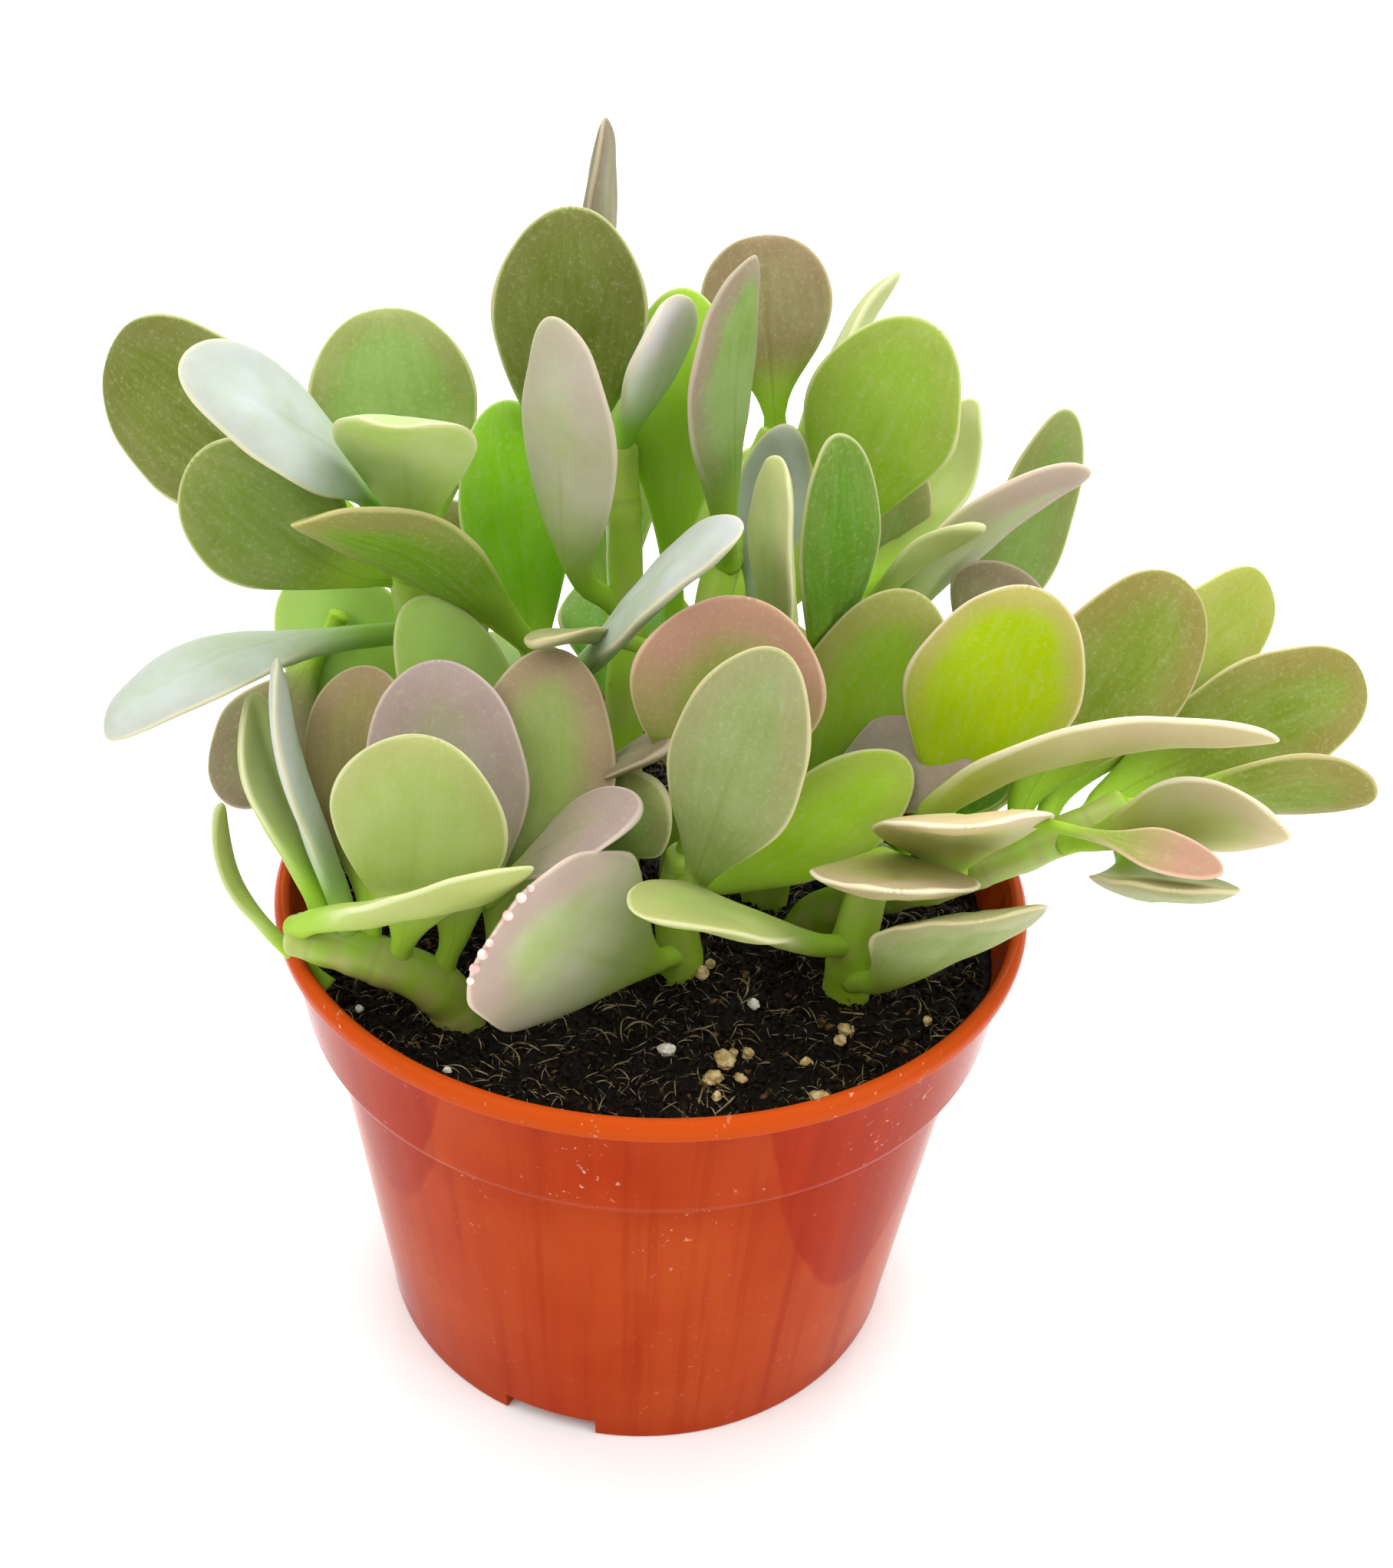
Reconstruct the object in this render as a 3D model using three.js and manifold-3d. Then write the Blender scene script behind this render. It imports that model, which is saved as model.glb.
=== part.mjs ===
// A weeping jade in its moulded nursery pot: a fleshy-leaved trailing plant with paddle leaves
// on short thick stems. Millimetres, +Z up, front at -Y, origin under the middle of the plant.
import * as THREE from "three";
import { mergeVertices } from "three/addons/utils/BufferGeometryUtils.js";
import Module from "manifold-3d";

const wasm = await Module();
wasm.setup();

// ---- driving dimensions ----
const rimDiameter = 118; // outside of the lip
const potHeight = 82;
const potWall = 1.8;
const lipWidth = 2.4; // flat top of the rolled lip, inwards from its outside
const lipDepth = 3;
const collarDepth = 20; // rim to the stacking shoulder
const collarTaper = 3.7; // how much narrower the collar is at its foot, on the radius
const shoulderStep = 3.3; // body set in under the collar
const footDiameter = 89;
const footDepth = 3.5; // foot ring below the floor
const footRingWidth = 2.6;
const slotCount = 3; // drainage gaps through the foot ring
const slotAngle = 20; // degrees
const firstSlotAt = 254; // degrees round from +X
const soilBelowRim = 8;
const soilCrown = 1.5; // how much the soil rises to its middle
const clearance = 0.35; // between pieces that touch
const stemRootDepth = 12;
const leafThickness = 4;
const neckThickness = 3.4; // where a leaf leaves its stem
const launchLean = 0.35; // how far a leaf leans to its tip as it leaves the stem; 0 is square to it
const plantSpread = 1; // how large the plant is in its pot, against one in a pot of layoutRim
const layoutRim = 118;
const layoutCrown = 1.5; // soil crown that the plant's heights are set against
const leafGap = 0.35; // a leaf's stalk to its stem, on a plant in a pot of layoutRim

const deg = Math.PI / 180;
const rimRadius = rimDiameter / 2;
const layoutScale = (plantSpread * rimDiameter) / layoutRim;
const soilTop = potHeight - soilBelowRim;
const plantHeight = (z) => soilTop + soilCrown + (z - layoutCrown) * layoutScale;
const point = (x, y, z) => new THREE.Vector3(x, y, z);

// A direction from its bearing (0 is the front, 90 the right) and its rise above level, in degrees.
const bearing = (turn, rise) =>
  point(
    Math.sin(turn * deg) * Math.cos(rise * deg),
    -Math.cos(turn * deg) * Math.cos(rise * deg),
    Math.sin(rise * deg),
  );

const smooth = (t) => {
  const s = Math.min(1, Math.max(0, t));
  return s * s * (3 - 2 * s);
};

// ---- solids ----
const solidOf = (geometry) => {
  const bare = geometry.index ? geometry.toNonIndexed() : geometry.clone();
  for (const name of Object.keys(bare.attributes)) {
    if (name !== "position") bare.deleteAttribute(name);
  }
  const merged = mergeVertices(bare, 1e-4);
  return new wasm.Manifold(
    new wasm.Mesh({
      numProp: 3,
      vertProperties: merged.attributes.position.array,
      triVerts: new Uint32Array(merged.index.array),
    }),
  );
};

const geometryOf = (solid) => {
  const mesh = solid.getMesh();
  const places = new Float32Array(mesh.numVert * 3);
  for (let i = 0; i < mesh.numVert; i++) {
    places.set(mesh.vertProperties.subarray(i * mesh.numProp, i * mesh.numProp + 3), i * 3);
  }
  const geometry = new THREE.BufferGeometry();
  geometry.setAttribute("position", new THREE.BufferAttribute(places, 3));
  geometry.setIndex(new THREE.BufferAttribute(mesh.triVerts, 1));
  geometry.computeVertexNormals();
  return geometry;
};

// A closed skin through rings of points, with a pole at each end.
const loft = (rings, startPole, endPole) => {
  const round = rings[0].length;
  const places = [startPole, ...rings.flat(), endPole].flatMap((p) => [p.x, p.y, p.z]);
  const last = rings.length * round + 1;
  const at = (ring, i) => 1 + ring * round + (i % round);
  const faces = [];
  for (let i = 0; i < round; i++) {
    faces.push(0, at(0, i + 1), at(0, i));
    faces.push(last, at(rings.length - 1, i), at(rings.length - 1, i + 1));
    for (let ring = 0; ring + 1 < rings.length; ring++) {
      faces.push(at(ring, i), at(ring, i + 1), at(ring + 1, i + 1));
      faces.push(at(ring, i), at(ring + 1, i + 1), at(ring + 1, i));
    }
  }
  const geometry = new THREE.BufferGeometry();
  geometry.setAttribute("position", new THREE.Float32BufferAttribute(places, 3));
  geometry.setIndex(faces);
  geometry.computeVertexNormals();
  return geometry;
};

// ---- stems ----
const stemSides = 10;
const stemSteps = 9;
const stemTipShare = 0.72; // tip thickness against the root's
const domeShare = 0.55; // height of a stem's rounded end against its radius

class Stem {
  // points: [x, y, height above the soil], from the soil upwards; thick: diameter at the root
  constructor(points, thick, grow = 0) {
    const placed = points.map(([x, y, z]) =>
      point(x * layoutScale, y * layoutScale, plantHeight(z)),
    );
    const root = placed[0].clone();
    root.z = plantHeight(-stemRootDepth);
    this.curve = new THREE.CatmullRomCurve3([root, ...placed]);
    this.thick = thick * layoutScale;
    this.grow = grow;
  }

  radiusAt(share) {
    return (this.thick / 2) * (1 - (1 - stemTipShare) * share) + this.grow;
  }

  geometry() {
    const frames = this.curve.computeFrenetFrames(stemSteps);
    const rings = [];
    for (let step = 0; step <= stemSteps; step++) {
      const share = step / stemSteps;
      const centre = this.curve.getPointAt(share);
      const radius = this.radiusAt(share);
      const ring = [];
      for (let i = 0; i < stemSides; i++) {
        const angle = (i / stemSides) * 2 * Math.PI;
        ring.push(
          centre
            .clone()
            .addScaledVector(frames.normals[step], Math.cos(angle) * radius)
            .addScaledVector(frames.binormals[step], Math.sin(angle) * radius),
        );
      }
      rings.push(ring);
    }
    const foot = this.curve.getPointAt(0).addScaledVector(frames.tangents[0], -this.grow);
    const end = this.curve.getPointAt(1);
    const ahead = frames.tangents[stemSteps];
    const dome = this.radiusAt(1) * domeShare;
    const shoulder = rings[stemSteps].map((p) =>
      p.clone().lerp(end, 0.3).addScaledVector(ahead, dome * 0.65),
    );
    rings.push(shoulder);
    return loft(rings, foot, end.clone().addScaledVector(ahead, dome));
  }
}

// ---- leaves ----
const leafSides = 8;
const leafStations = [0, 0.12, 0.26, 0.4, 0.54, 0.68, 0.8, 0.9, 0.97];

// Half width along a leaf: a narrow neck, a paddle that is widest past the middle, a round end.
const halfWidthAt = (t, wide, neck, widest) => {
  const full = wide / 2;
  const narrow = (neckThickness * layoutScale) / 2;
  if (t <= widest) {
    return narrow + (full - narrow) * smooth((t - neck) / (widest - neck) / 1.08 + 0.02);
  }
  const past = (t - widest) / (1 - widest);
  return full * Math.sqrt(Math.max(0, 1 - past * past));
};

const halfThicknessAt = (t) => {
  const blade = (leafThickness * layoutScale) / 2;
  const start = (neckThickness * layoutScale) / 2;
  const body = start + (blade - start) * smooth(t / 0.5);
  const past = Math.max(0, (t - 0.6) / 0.4);
  return body * Math.sqrt(Math.max(0.05, 1 - 0.8 * past * past));
};

// leaf: at, share of the stem where it grows; tip, [x, y, height above the soil]; wide; faces,
// the bearing and rise of its upper face; bow, how far it arches to that face; neck, share of
// its length that is stalk; widest, where the paddle is widest; cup, how far its margins curl up;
// heads, the bearing and rise its tip points along; side, those of the side of the stem it
// leaves; stalk, how far it runs out before it turns, as a share of its length.
const leafGeometry = (stem, leaf, grow = 0) => {
  const { at, tip, wide, faces, neck = 0.1, widest = 0.66, twist = 0 } = leaf;
  const bow = (leaf.bow ?? 3) * layoutScale;
  const cup = (leaf.cup ?? 1) * layoutScale;
  const { heads, side: growsFrom, stalk = 0.2 } = leaf;
  const end = point(tip[0] * layoutScale, tip[1] * layoutScale, plantHeight(tip[2]));
  const from = stem.curve.getPointAt(at);
  const along = stem.curve.getTangentAt(at);
  const chord = end.clone().sub(from);
  const toward = growsFrom ? bearing(...growsFrom) : chord;
  const out = toward.clone().addScaledVector(along, -toward.dot(along)).normalize();
  if (at === 1) out.copy(chord).normalize();
  const sideways = Math.sqrt(1 - Math.min(1, out.dot(along) ** 2));
  const launch = out.clone().lerp(chord.normalize(), launchLean).normalize();
  const tilt = Math.sqrt(1 - Math.min(1, launch.dot(out) ** 2));
  const reach = stem.radiusAt(at) * (domeShare + (1 - domeShare) * sideways);
  const start = from.addScaledVector(out, reach + (leafGap + (tilt * neckThickness) / 2) * layoutScale);
  const span = end.distanceTo(start);
  const straight = end.clone().sub(start).normalize();
  const face = bearing(faces[0], faces[1]);
  face.addScaledVector(straight, -face.dot(straight)).normalize();
  const curve = new THREE.CubicBezierCurve3(
    start,
    start.clone().addScaledVector(launch, span * stalk).addScaledVector(face, bow * 0.4),
    heads
      ? end.clone().addScaledVector(bearing(...heads), -span * 0.5)
      : start.clone().lerp(end, 0.62).addScaledVector(face, bow * 1.4),
    end,
  );
  const rings = leafStations.map((t) => {
    const centre = curve.getPoint(t);
    const forward = curve.getTangent(t);
    const up = face.clone().addScaledVector(forward, -face.dot(forward)).normalize();
    up.applyAxisAngle(forward, twist * deg * t);
    const side = up.clone().cross(forward);
    const half = halfWidthAt(t, wide * layoutScale, neck, widest) + grow;
    const thick = halfThicknessAt(t) + grow;
    const ring = [];
    for (let i = 0; i < leafSides; i++) {
      const angle = (i / leafSides) * 2 * Math.PI;
      const across = Math.cos(angle);
      const lift = cup * across * across * ((2 * half) / (wide * layoutScale));
      ring.push(
        centre
          .clone()
          .addScaledVector(side, across * half)
          .addScaledVector(up, Math.sin(angle) * thick + lift),
      );
    }
    return ring;
  });
  const startPole = curve.getPoint(0).addScaledVector(out, -grow);
  const endPole = curve.getPoint(1).addScaledVector(curve.getTangent(1), grow);
  return loft(rings, startPole, endPole);
};

// ---- the plant: each stem with the leaves it carries ----
const plant = {
  front_left: {
    points: [[-27, -29, 0], [-32, -30, 7], [-41, -30, 11], [-50, -29, 13]],
    thick: 8.5,
    leaves: [
      { at: 0.93, tip: [-57, -14, 44], wide: 16, faces: [80, 0], bow: -4 },
      { at: 0.84, tip: [-51, -22, 54], wide: 16, faces: [-75, 5], bow: 3 },
      { at: 0.76, tip: [-42, -10, 47], wide: 18, faces: [-10, 15] },
      { at: 0.5, tip: [-30, -18, 53], wide: 23, faces: [5, 20] },
      { at: 0.34, tip: [-14, -13, 53], wide: 22, faces: [5, 20] },
      { at: 0.64, tip: [-28, -35, 51], wide: 25, faces: [-5, 20], bow: 2 },
      { at: 0.97, tip: [-15, -53, 44], wide: 18, faces: [-160, 50], bow: -3, neck: 0.25 },
    ],
  },
  back_left: {
    points: [[-23, 2, 0], [-28, 3, 22], [-35, 3, 42], [-39, 3, 64]],
    thick: 8,
    leaves: [
      { at: 0.97, tip: [-82, 18, 82], wide: 26, faces: [-5, 10] },
      { at: 0.9, tip: [-64, -8, 76], wide: 22, faces: [-10, 20] },
      { at: 1, tip: [-60, -22, 93], wide: 20, faces: [88, 29] },
      { at: 0.85, tip: [-44, 26, 87], wide: 25, faces: [5, 20] },
      { at: 0.93, tip: [-33.5, -23, 88], wide: 19, faces: [180, 60], bow: 8, neck: 0.25 },
      { at: 0.5, tip: [-57, 14, 49], wide: 21, faces: [0, 20] },
      { at: 0.78, tip: [-76, -22, 40], wide: 20, faces: [-78, 76], bow: 6, neck: 0.3 },
    ],
  },
  inner: {
    points: [[-14, 4, 0], [-16, 4, 20], [-18, 5, 42]],
    thick: 7,
    leaves: [
      { at: 1, tip: [-45, -26, 76], wide: 18, faces: [-176, 38], bow: 6 },
      { at: 0.9, tip: [-25, 18, 77], wide: 17, faces: [0, 10] },
      { at: 0.95, tip: [10, -24, 77], wide: 15, faces: [-91, 33], neck: 0.25 },
      { at: 0.48, tip: [-36, -7, 56], wide: 18, faces: [40, 5] },
    ],
  },
  middle: {
    points: [[-6, 9, 0], [-6, 10, 24], [-6, 11, 45], [-7, 12, 62], [-8, 14, 72]],
    thick: 7,
    leaves: [
      {
        at: 0.74, side: [-60, 20], tip: [-15, -8, 98], wide: 16, faces: [148, 17],
        heads: [-12, 72], neck: 0.2,
      },
      { at: 1, tip: [-1, 3, 98], wide: 15, faces: [50, 20], bow: 1 },
      { at: 0.95, side: [-110, 20], tip: [-16, 15, 106], wide: 22, faces: [5, 15], bow: 1 },
      { at: 0.93, side: [-150, 20], tip: [-12, 33, 114], wide: 18, faces: [85, 16], bow: -2 },
    ],
  },
  centre_tall: {
    points: [[4, 9, 0], [5, 10, 24], [7, 12, 48], [10, 18, 61], [15, 22, 72]],
    thick: 7,
    leaves: [
      { at: 0.55, side: [-150, 10], tip: [0, 21, 94], wide: 17, faces: [0, 20], neck: 0.4, widest: 0.75 },
      { at: 0.78, side: [0, 10], tip: [9, 2, 104], wide: 18, faces: [-119, 7], neck: 0.2 },
      { at: 1, tip: [11, 32, 99], wide: 20, faces: [0, 10] },
      { at: 0.96, side: [60, 20], tip: [32, 34, 94], wide: 12, faces: [-98, 30] },
    ],
  },
  centre_right: {
    points: [[18, 4, 0], [22, 6, 24], [25, 8, 42], [25, 12, 56]],
    thick: 8,
    leaves: [
      { at: 1, tip: [36, 12, 93], wide: 23, faces: [-15, 20], heads: [90, 56] },
      { at: 0.8, tip: [22, -4, 83], wide: 13, faces: [25, 15] },
      { at: 0.74, tip: [15, -12, 82], wide: 16, faces: [-70, -12] },
      { at: 0.93, tip: [46, 34, 75], wide: 15, faces: [-50, 10], heads: [60, 78] },
      { at: 0.84, tip: [60, 10, 74], wide: 18, faces: [-150, 35], heads: [90, 22] },
      { at: 0.33, tip: [35.5, -5.5, 61], wide: 23, faces: [-10, 20] },
      {
        at: 0.6, side: [120, 0], tip: [59, 30, 76], wide: 15, faces: [20, 15],
        heads: [60, 82], neck: 0.4, stalk: 0.45,
      },
    ],
  },
  right: {
    points: [[24, -4, 0], [33, -8, 10], [45, -14, 19], [58, -15, 27], [68, -12, 31]],
    thick: 7.5,
    leaves: [
      { at: 0.6, tip: [49.5, -14, 67], wide: 25, faces: [0, 10], bow: 1, neck: 0.25 },
      { at: 0.78, tip: [75, 6, 60], wide: 22, faces: [5, 20] },
      { at: 0.84, side: [165, 20], tip: [95, 29.5, 50], wide: 18, faces: [0, 15] },
      { at: 0.95, tip: [108, 14, 42], wide: 20, faces: [0, 30] },
      {
        at: 0.51, side: [30, 62], tip: [81, -31, 55], wide: 12, faces: [-167, 38],
        heads: [80, 0], bow: 0, neck: 0.25,
      },
      { at: 1, tip: [105, -10, 34], wide: 19, faces: [177, 30] },
      { at: 0.88, tip: [84, -33, 43], wide: 22, faces: [166, 34], neck: 0.15 },
      { at: 0.64, tip: [40, -46, 49], wide: 25, faces: [195, 62], heads: [-10, 28] },
      {
        at: 0.97, side: [40, -40], tip: [67, -46, 41], wide: 20, faces: [180, 57],
        heads: [-18, 36], bow: -3,
      },
    ],
  },
  front_right: {
    points: [[30.5, -18, 0], [31, -18, 12], [33, -17, 24]],
    thick: 8,
    leaves: [
      { at: 1, tip: [32, -48, 40], wide: 23, faces: [180, 52], heads: [-8, 38] },
      { at: 0.6, tip: [-1, -49, 35], wide: 17, faces: [135, 66], neck: 0.3 },
      { at: 0.46, tip: [43, -48, 36], wide: 24, faces: [190, 60], heads: [-11, 32] },
    ],
  },
  centre: {
    points: [[5, -15, 0], [4, -14, 10], [5, -14, 20]],
    thick: 8,
    leaves: [
      { at: 1, tip: [11.5, -22, 67], wide: 27, faces: [0, 20], neck: 0.25, widest: 0.7 },
      { at: 0.92, tip: [15.5, -42, 70], wide: 19, faces: [-15, 20], neck: 0.3 },
      { at: 0.86, tip: [36, -15, 39], wide: 15, faces: [-10, 20] },
      { at: 0.5, tip: [-18, -56, 36], wide: 30, faces: [-130, 10], neck: 0.1, widest: 0.55 },
    ],
  },
};

// ---- pot ----
const potSides = 64;
const floorTop = footDepth + potWall;
const collarFoot = potHeight - collarDepth;
const bodyTopRadius = rimRadius - collarTaper - shoulderStep;
const footRadius = footDiameter / 2;
const innerRimRadius = rimRadius - lipWidth;
const innerCollarFoot = rimRadius - collarTaper - potWall;
const innerBodyTop = bodyTopRadius - potWall;
const innerFloorRadius = footRadius - potWall;

const potGeometry = () => {
  const lipTuck = 0.6; // lip hangs past the collar wall
  const profile = [
    [0, footDepth],
    [footRadius - footRingWidth, footDepth],
    [footRadius - footRingWidth, 0],
    [footRadius, 0],
    [footRadius + 0.3, footDepth],
    [bodyTopRadius, collarFoot - shoulderStep * 0.6],
    [rimRadius - collarTaper - 0.5, collarFoot - 0.4],
    [rimRadius - collarTaper, collarFoot + 0.8],
    [rimRadius - lipTuck, potHeight - lipDepth],
    [rimRadius, potHeight - lipDepth + 0.4],
    [rimRadius, potHeight - 0.8],
    [rimRadius - 0.8, potHeight],
    [innerRimRadius + 0.6, potHeight],
    [innerRimRadius, potHeight - 0.6],
    [innerCollarFoot, collarFoot + potWall],
    [innerBodyTop, collarFoot - shoulderStep],
    [innerFloorRadius, floorTop],
    [0, floorTop],
  ];
  const outline = profile.map(([r, z]) => new THREE.Vector2(r, z));
  const turned = new THREE.LatheGeometry(outline, potSides).rotateX(Math.PI / 2);
  let pot = solidOf(turned);
  if (pot.volume() < 0) throw new Error("the pot's profile runs the wrong way");
  for (let i = 0; i < slotCount; i++) {
    const middle = firstSlotAt + (360 / slotCount) * i;
    const wedge = new THREE.Shape();
    const reach = footRadius * 1.1;
    wedge.moveTo(footRadius * 0.85, -Math.tan((slotAngle / 2) * deg) * footRadius * 0.85);
    wedge.lineTo(reach, -Math.tan((slotAngle / 2) * deg) * reach);
    wedge.lineTo(reach, Math.tan((slotAngle / 2) * deg) * reach);
    wedge.lineTo(footRadius * 0.85, Math.tan((slotAngle / 2) * deg) * footRadius * 0.85);
    const cut = new THREE.ExtrudeGeometry(wedge, { depth: footDepth + 1, bevelEnabled: false })
      .translate(0, 0, -1)
      .rotateZ(middle * deg);
    pot = pot.subtract(solidOf(cut));
  }
  return geometryOf(pot);
};

// ---- soil ----
const soilSides = 48;
const soilGeometry = (stems) => {
  const slope = (innerRimRadius - innerCollarFoot) / (potHeight - collarFoot - potWall);
  const edge = innerRimRadius - slope * soilBelowRim - clearance;
  const profile = [
    [0, floorTop + clearance],
    [innerFloorRadius - clearance, floorTop + clearance],
    [innerBodyTop - clearance, collarFoot - shoulderStep - clearance],
    [innerCollarFoot - clearance, collarFoot + potWall - clearance],
    [edge, soilTop],
    [edge * 0.6, soilTop + soilCrown * 0.8],
    [0, soilTop + soilCrown],
  ];
  const outline = profile.map(([r, z]) => new THREE.Vector2(r, z));
  let soil = solidOf(new THREE.LatheGeometry(outline, soilSides).rotateX(Math.PI / 2));
  for (const stem of stems) soil = soil.subtract(solidOf(stem.geometry()));
  return geometryOf(soil);
};

// ---- materials ----
const finish = (color, roughness) =>
  new THREE.MeshStandardMaterial({ color, roughness, metalness: 0 });
const materials = {
  pot: finish(0xb8431a, 0.3),
  soil: finish(0x1d1814, 0.95),
  stem: finish(0x7fae3c, 0.5),
  leaf: finish(0x86b052, 0.5),
};

// ---- assembly ----
const weepingJade = new THREE.Group();
const addPiece = (name, geometry, material) => {
  const mesh = new THREE.Mesh(geometry, material);
  mesh.name = name;
  weepingJade.add(mesh);
};

addPiece("pot", potGeometry(), materials.pot);
const sockets = Object.values(plant).map(({ points, thick }) => new Stem(points, thick, clearance));
addPiece("soil", soilGeometry(sockets), materials.soil);
for (const [place, { points, thick, leaves }] of Object.entries(plant)) {
  const stem = new Stem(points, thick);
  addPiece(`stem_${place}`, stem.geometry(), materials.stem);
  leaves.forEach((leaf, i) => {
    addPiece(`leaf_${place}_${i + 1}`, leafGeometry(stem, leaf), materials.leaf);
  });
}

// The origin sits under the middle of the whole plant, where the pot stands.
const middle = new THREE.Box3().setFromObject(weepingJade).getCenter(point(0, 0, 0));
for (const mesh of weepingJade.children) mesh.geometry.translate(-middle.x, -middle.y, 0);

export default weepingJade;
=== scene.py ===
import math

import bmesh
import bpy
import numpy as np
from mathutils import Matrix, Vector


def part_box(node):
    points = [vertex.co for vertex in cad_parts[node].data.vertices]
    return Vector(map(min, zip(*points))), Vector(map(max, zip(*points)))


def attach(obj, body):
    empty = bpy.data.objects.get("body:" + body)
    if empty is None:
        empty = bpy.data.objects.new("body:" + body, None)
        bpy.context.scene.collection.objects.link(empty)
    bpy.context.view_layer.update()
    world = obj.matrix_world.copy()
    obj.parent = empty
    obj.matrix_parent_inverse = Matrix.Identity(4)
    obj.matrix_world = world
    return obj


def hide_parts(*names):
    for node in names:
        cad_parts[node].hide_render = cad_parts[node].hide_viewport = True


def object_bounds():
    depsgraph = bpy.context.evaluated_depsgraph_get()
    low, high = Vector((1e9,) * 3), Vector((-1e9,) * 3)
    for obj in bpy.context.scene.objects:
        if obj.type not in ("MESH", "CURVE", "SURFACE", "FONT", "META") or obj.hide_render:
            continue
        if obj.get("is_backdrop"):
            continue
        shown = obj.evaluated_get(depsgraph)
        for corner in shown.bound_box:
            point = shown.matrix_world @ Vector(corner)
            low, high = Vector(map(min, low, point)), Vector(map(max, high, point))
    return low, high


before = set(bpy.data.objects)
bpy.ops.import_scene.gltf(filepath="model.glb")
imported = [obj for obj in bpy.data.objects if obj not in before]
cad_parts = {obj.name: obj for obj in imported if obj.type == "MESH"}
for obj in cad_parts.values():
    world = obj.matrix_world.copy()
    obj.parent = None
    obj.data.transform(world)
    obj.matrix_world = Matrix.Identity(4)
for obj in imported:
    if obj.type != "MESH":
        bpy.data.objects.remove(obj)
cadBox = [list(corner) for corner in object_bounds()]

# A weeping jade in its nursery pot. Lengths below are in millimetres unless a note says so.
mm = 0.001
potLow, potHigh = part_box("pot")
potCentre = Vector(((potLow.x + potHigh.x) / 2, (potLow.y + potHigh.y) / 2, 0))
scene = bpy.context.scene
print("frame loaded:", len(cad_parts), "nodes")


def place(x, y, z):
    return Vector((x * mm, y * mm, z * mm)) + potCentre


def shade(code):  # sRGB hex to linear
    parts = [int(code[i:i + 2], 16) / 255 for i in (0, 2, 4)]
    return [p / 12.92 if p <= 0.04045 else ((p + 0.055) / 1.055) ** 2.4 for p in parts] + [1]


def perMetre(size):  # pattern scale that makes one repeat this many millimetres long
    return 1 / (size * mm)


def fill(tree, node, inputs):  # each socket gets a value or a link
    for socket, value in inputs.items():
        if isinstance(value, bpy.types.NodeSocket):
            tree.links.new(value, node.inputs[socket])
        else:
            node.inputs[socket].default_value = value


def addNode(tree, kind, inputs=None, **settings):
    node = tree.nodes.new(kind)
    for name, value in settings.items():
        setattr(node, name, value)
    fill(tree, node, inputs or {})
    return node


def ramp(tree, value, start, end, low=0, high=1, smooth=False):
    return addNode(tree, "ShaderNodeMapRange", {
        "Value": value, "From Min": start, "From Max": end, "To Min": low, "To Max": high},
        interpolation_type="SMOOTHSTEP" if smooth else "LINEAR").outputs[0]


def reckon(tree, operation, *values):
    return addNode(tree, "ShaderNodeMath", dict(enumerate(values)), operation=operation).outputs[0]


def blend(tree, share, first, second):
    return addNode(tree, "ShaderNodeMix", {0: share, 6: first, 7: second}, data_type="RGBA").outputs[2]


def noise(tree, where, scale, detail=2, roughness=0.5):
    return addNode(tree, "ShaderNodeTexNoise", {
        "Vector": where, "Scale": scale, "Detail": detail, "Roughness": roughness}).outputs["Fac"]


def bump(tree, strength, distance, height):
    return addNode(tree, "ShaderNodeBump", {
        "Strength": strength, "Distance": distance, "Height": height}).outputs[0]


def attribute(tree, name):
    return addNode(tree, "ShaderNodeAttribute", attribute_name=name).outputs["Fac"]


def ownPlace(tree):
    return addNode(tree, "ShaderNodeTexCoord").outputs["Object"]


def newMaterial(name):
    material = bpy.data.materials.new(name)
    material.use_nodes = True
    tree = material.node_tree
    return material, tree, tree.nodes["Principled BSDF"]


def meshPiece(name, shape, material, smooth=True):
    mesh = bpy.data.meshes.new(name)
    shape.to_mesh(mesh)
    shape.free()
    mesh.polygons.foreach_set("use_smooth", [smooth] * len(mesh.polygons))
    mesh.materials.append(material)
    piece = bpy.data.objects.new(name, mesh)
    scene.collection.objects.link(piece)
    return piece


def closedMesh(name, points, faces, material):
    draft = bpy.data.meshes.new("draft")
    draft.from_pydata([tuple(p) for p in points], [], faces)
    shell = bmesh.new()
    shell.from_mesh(draft)
    bpy.data.meshes.remove(draft)
    bmesh.ops.recalc_face_normals(shell, faces=shell.faces[:])
    return meshPiece(name, shell, material)


def addLayer(piece, label, values, first, last):
    # one number per point: the rings in order, then the two poles
    layer = piece.data.attributes.new(label, "FLOAT", "POINT")
    layer.data.foreach_set("value", np.append(np.concatenate(values), [first, last]).astype(np.float32))


def tubeFaces(rings, around, startPole, endPole):
    faces = []
    for ring in range(rings - 1):
        for i in range(around):
            a, b = ring * around + i, ring * around + (i + 1) % around
            faces.append((a, b, b + around, a + around))
    last = (rings - 1) * around
    for i in range(around):
        faces.append((startPole, (i + 1) % around, i))
        faces.append((endPole, last + i, last + (i + 1) % around))
    return faces


def ease(t):
    t = np.clip(t, 0, 1)
    return t * t * (3 - 2 * t)


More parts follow.
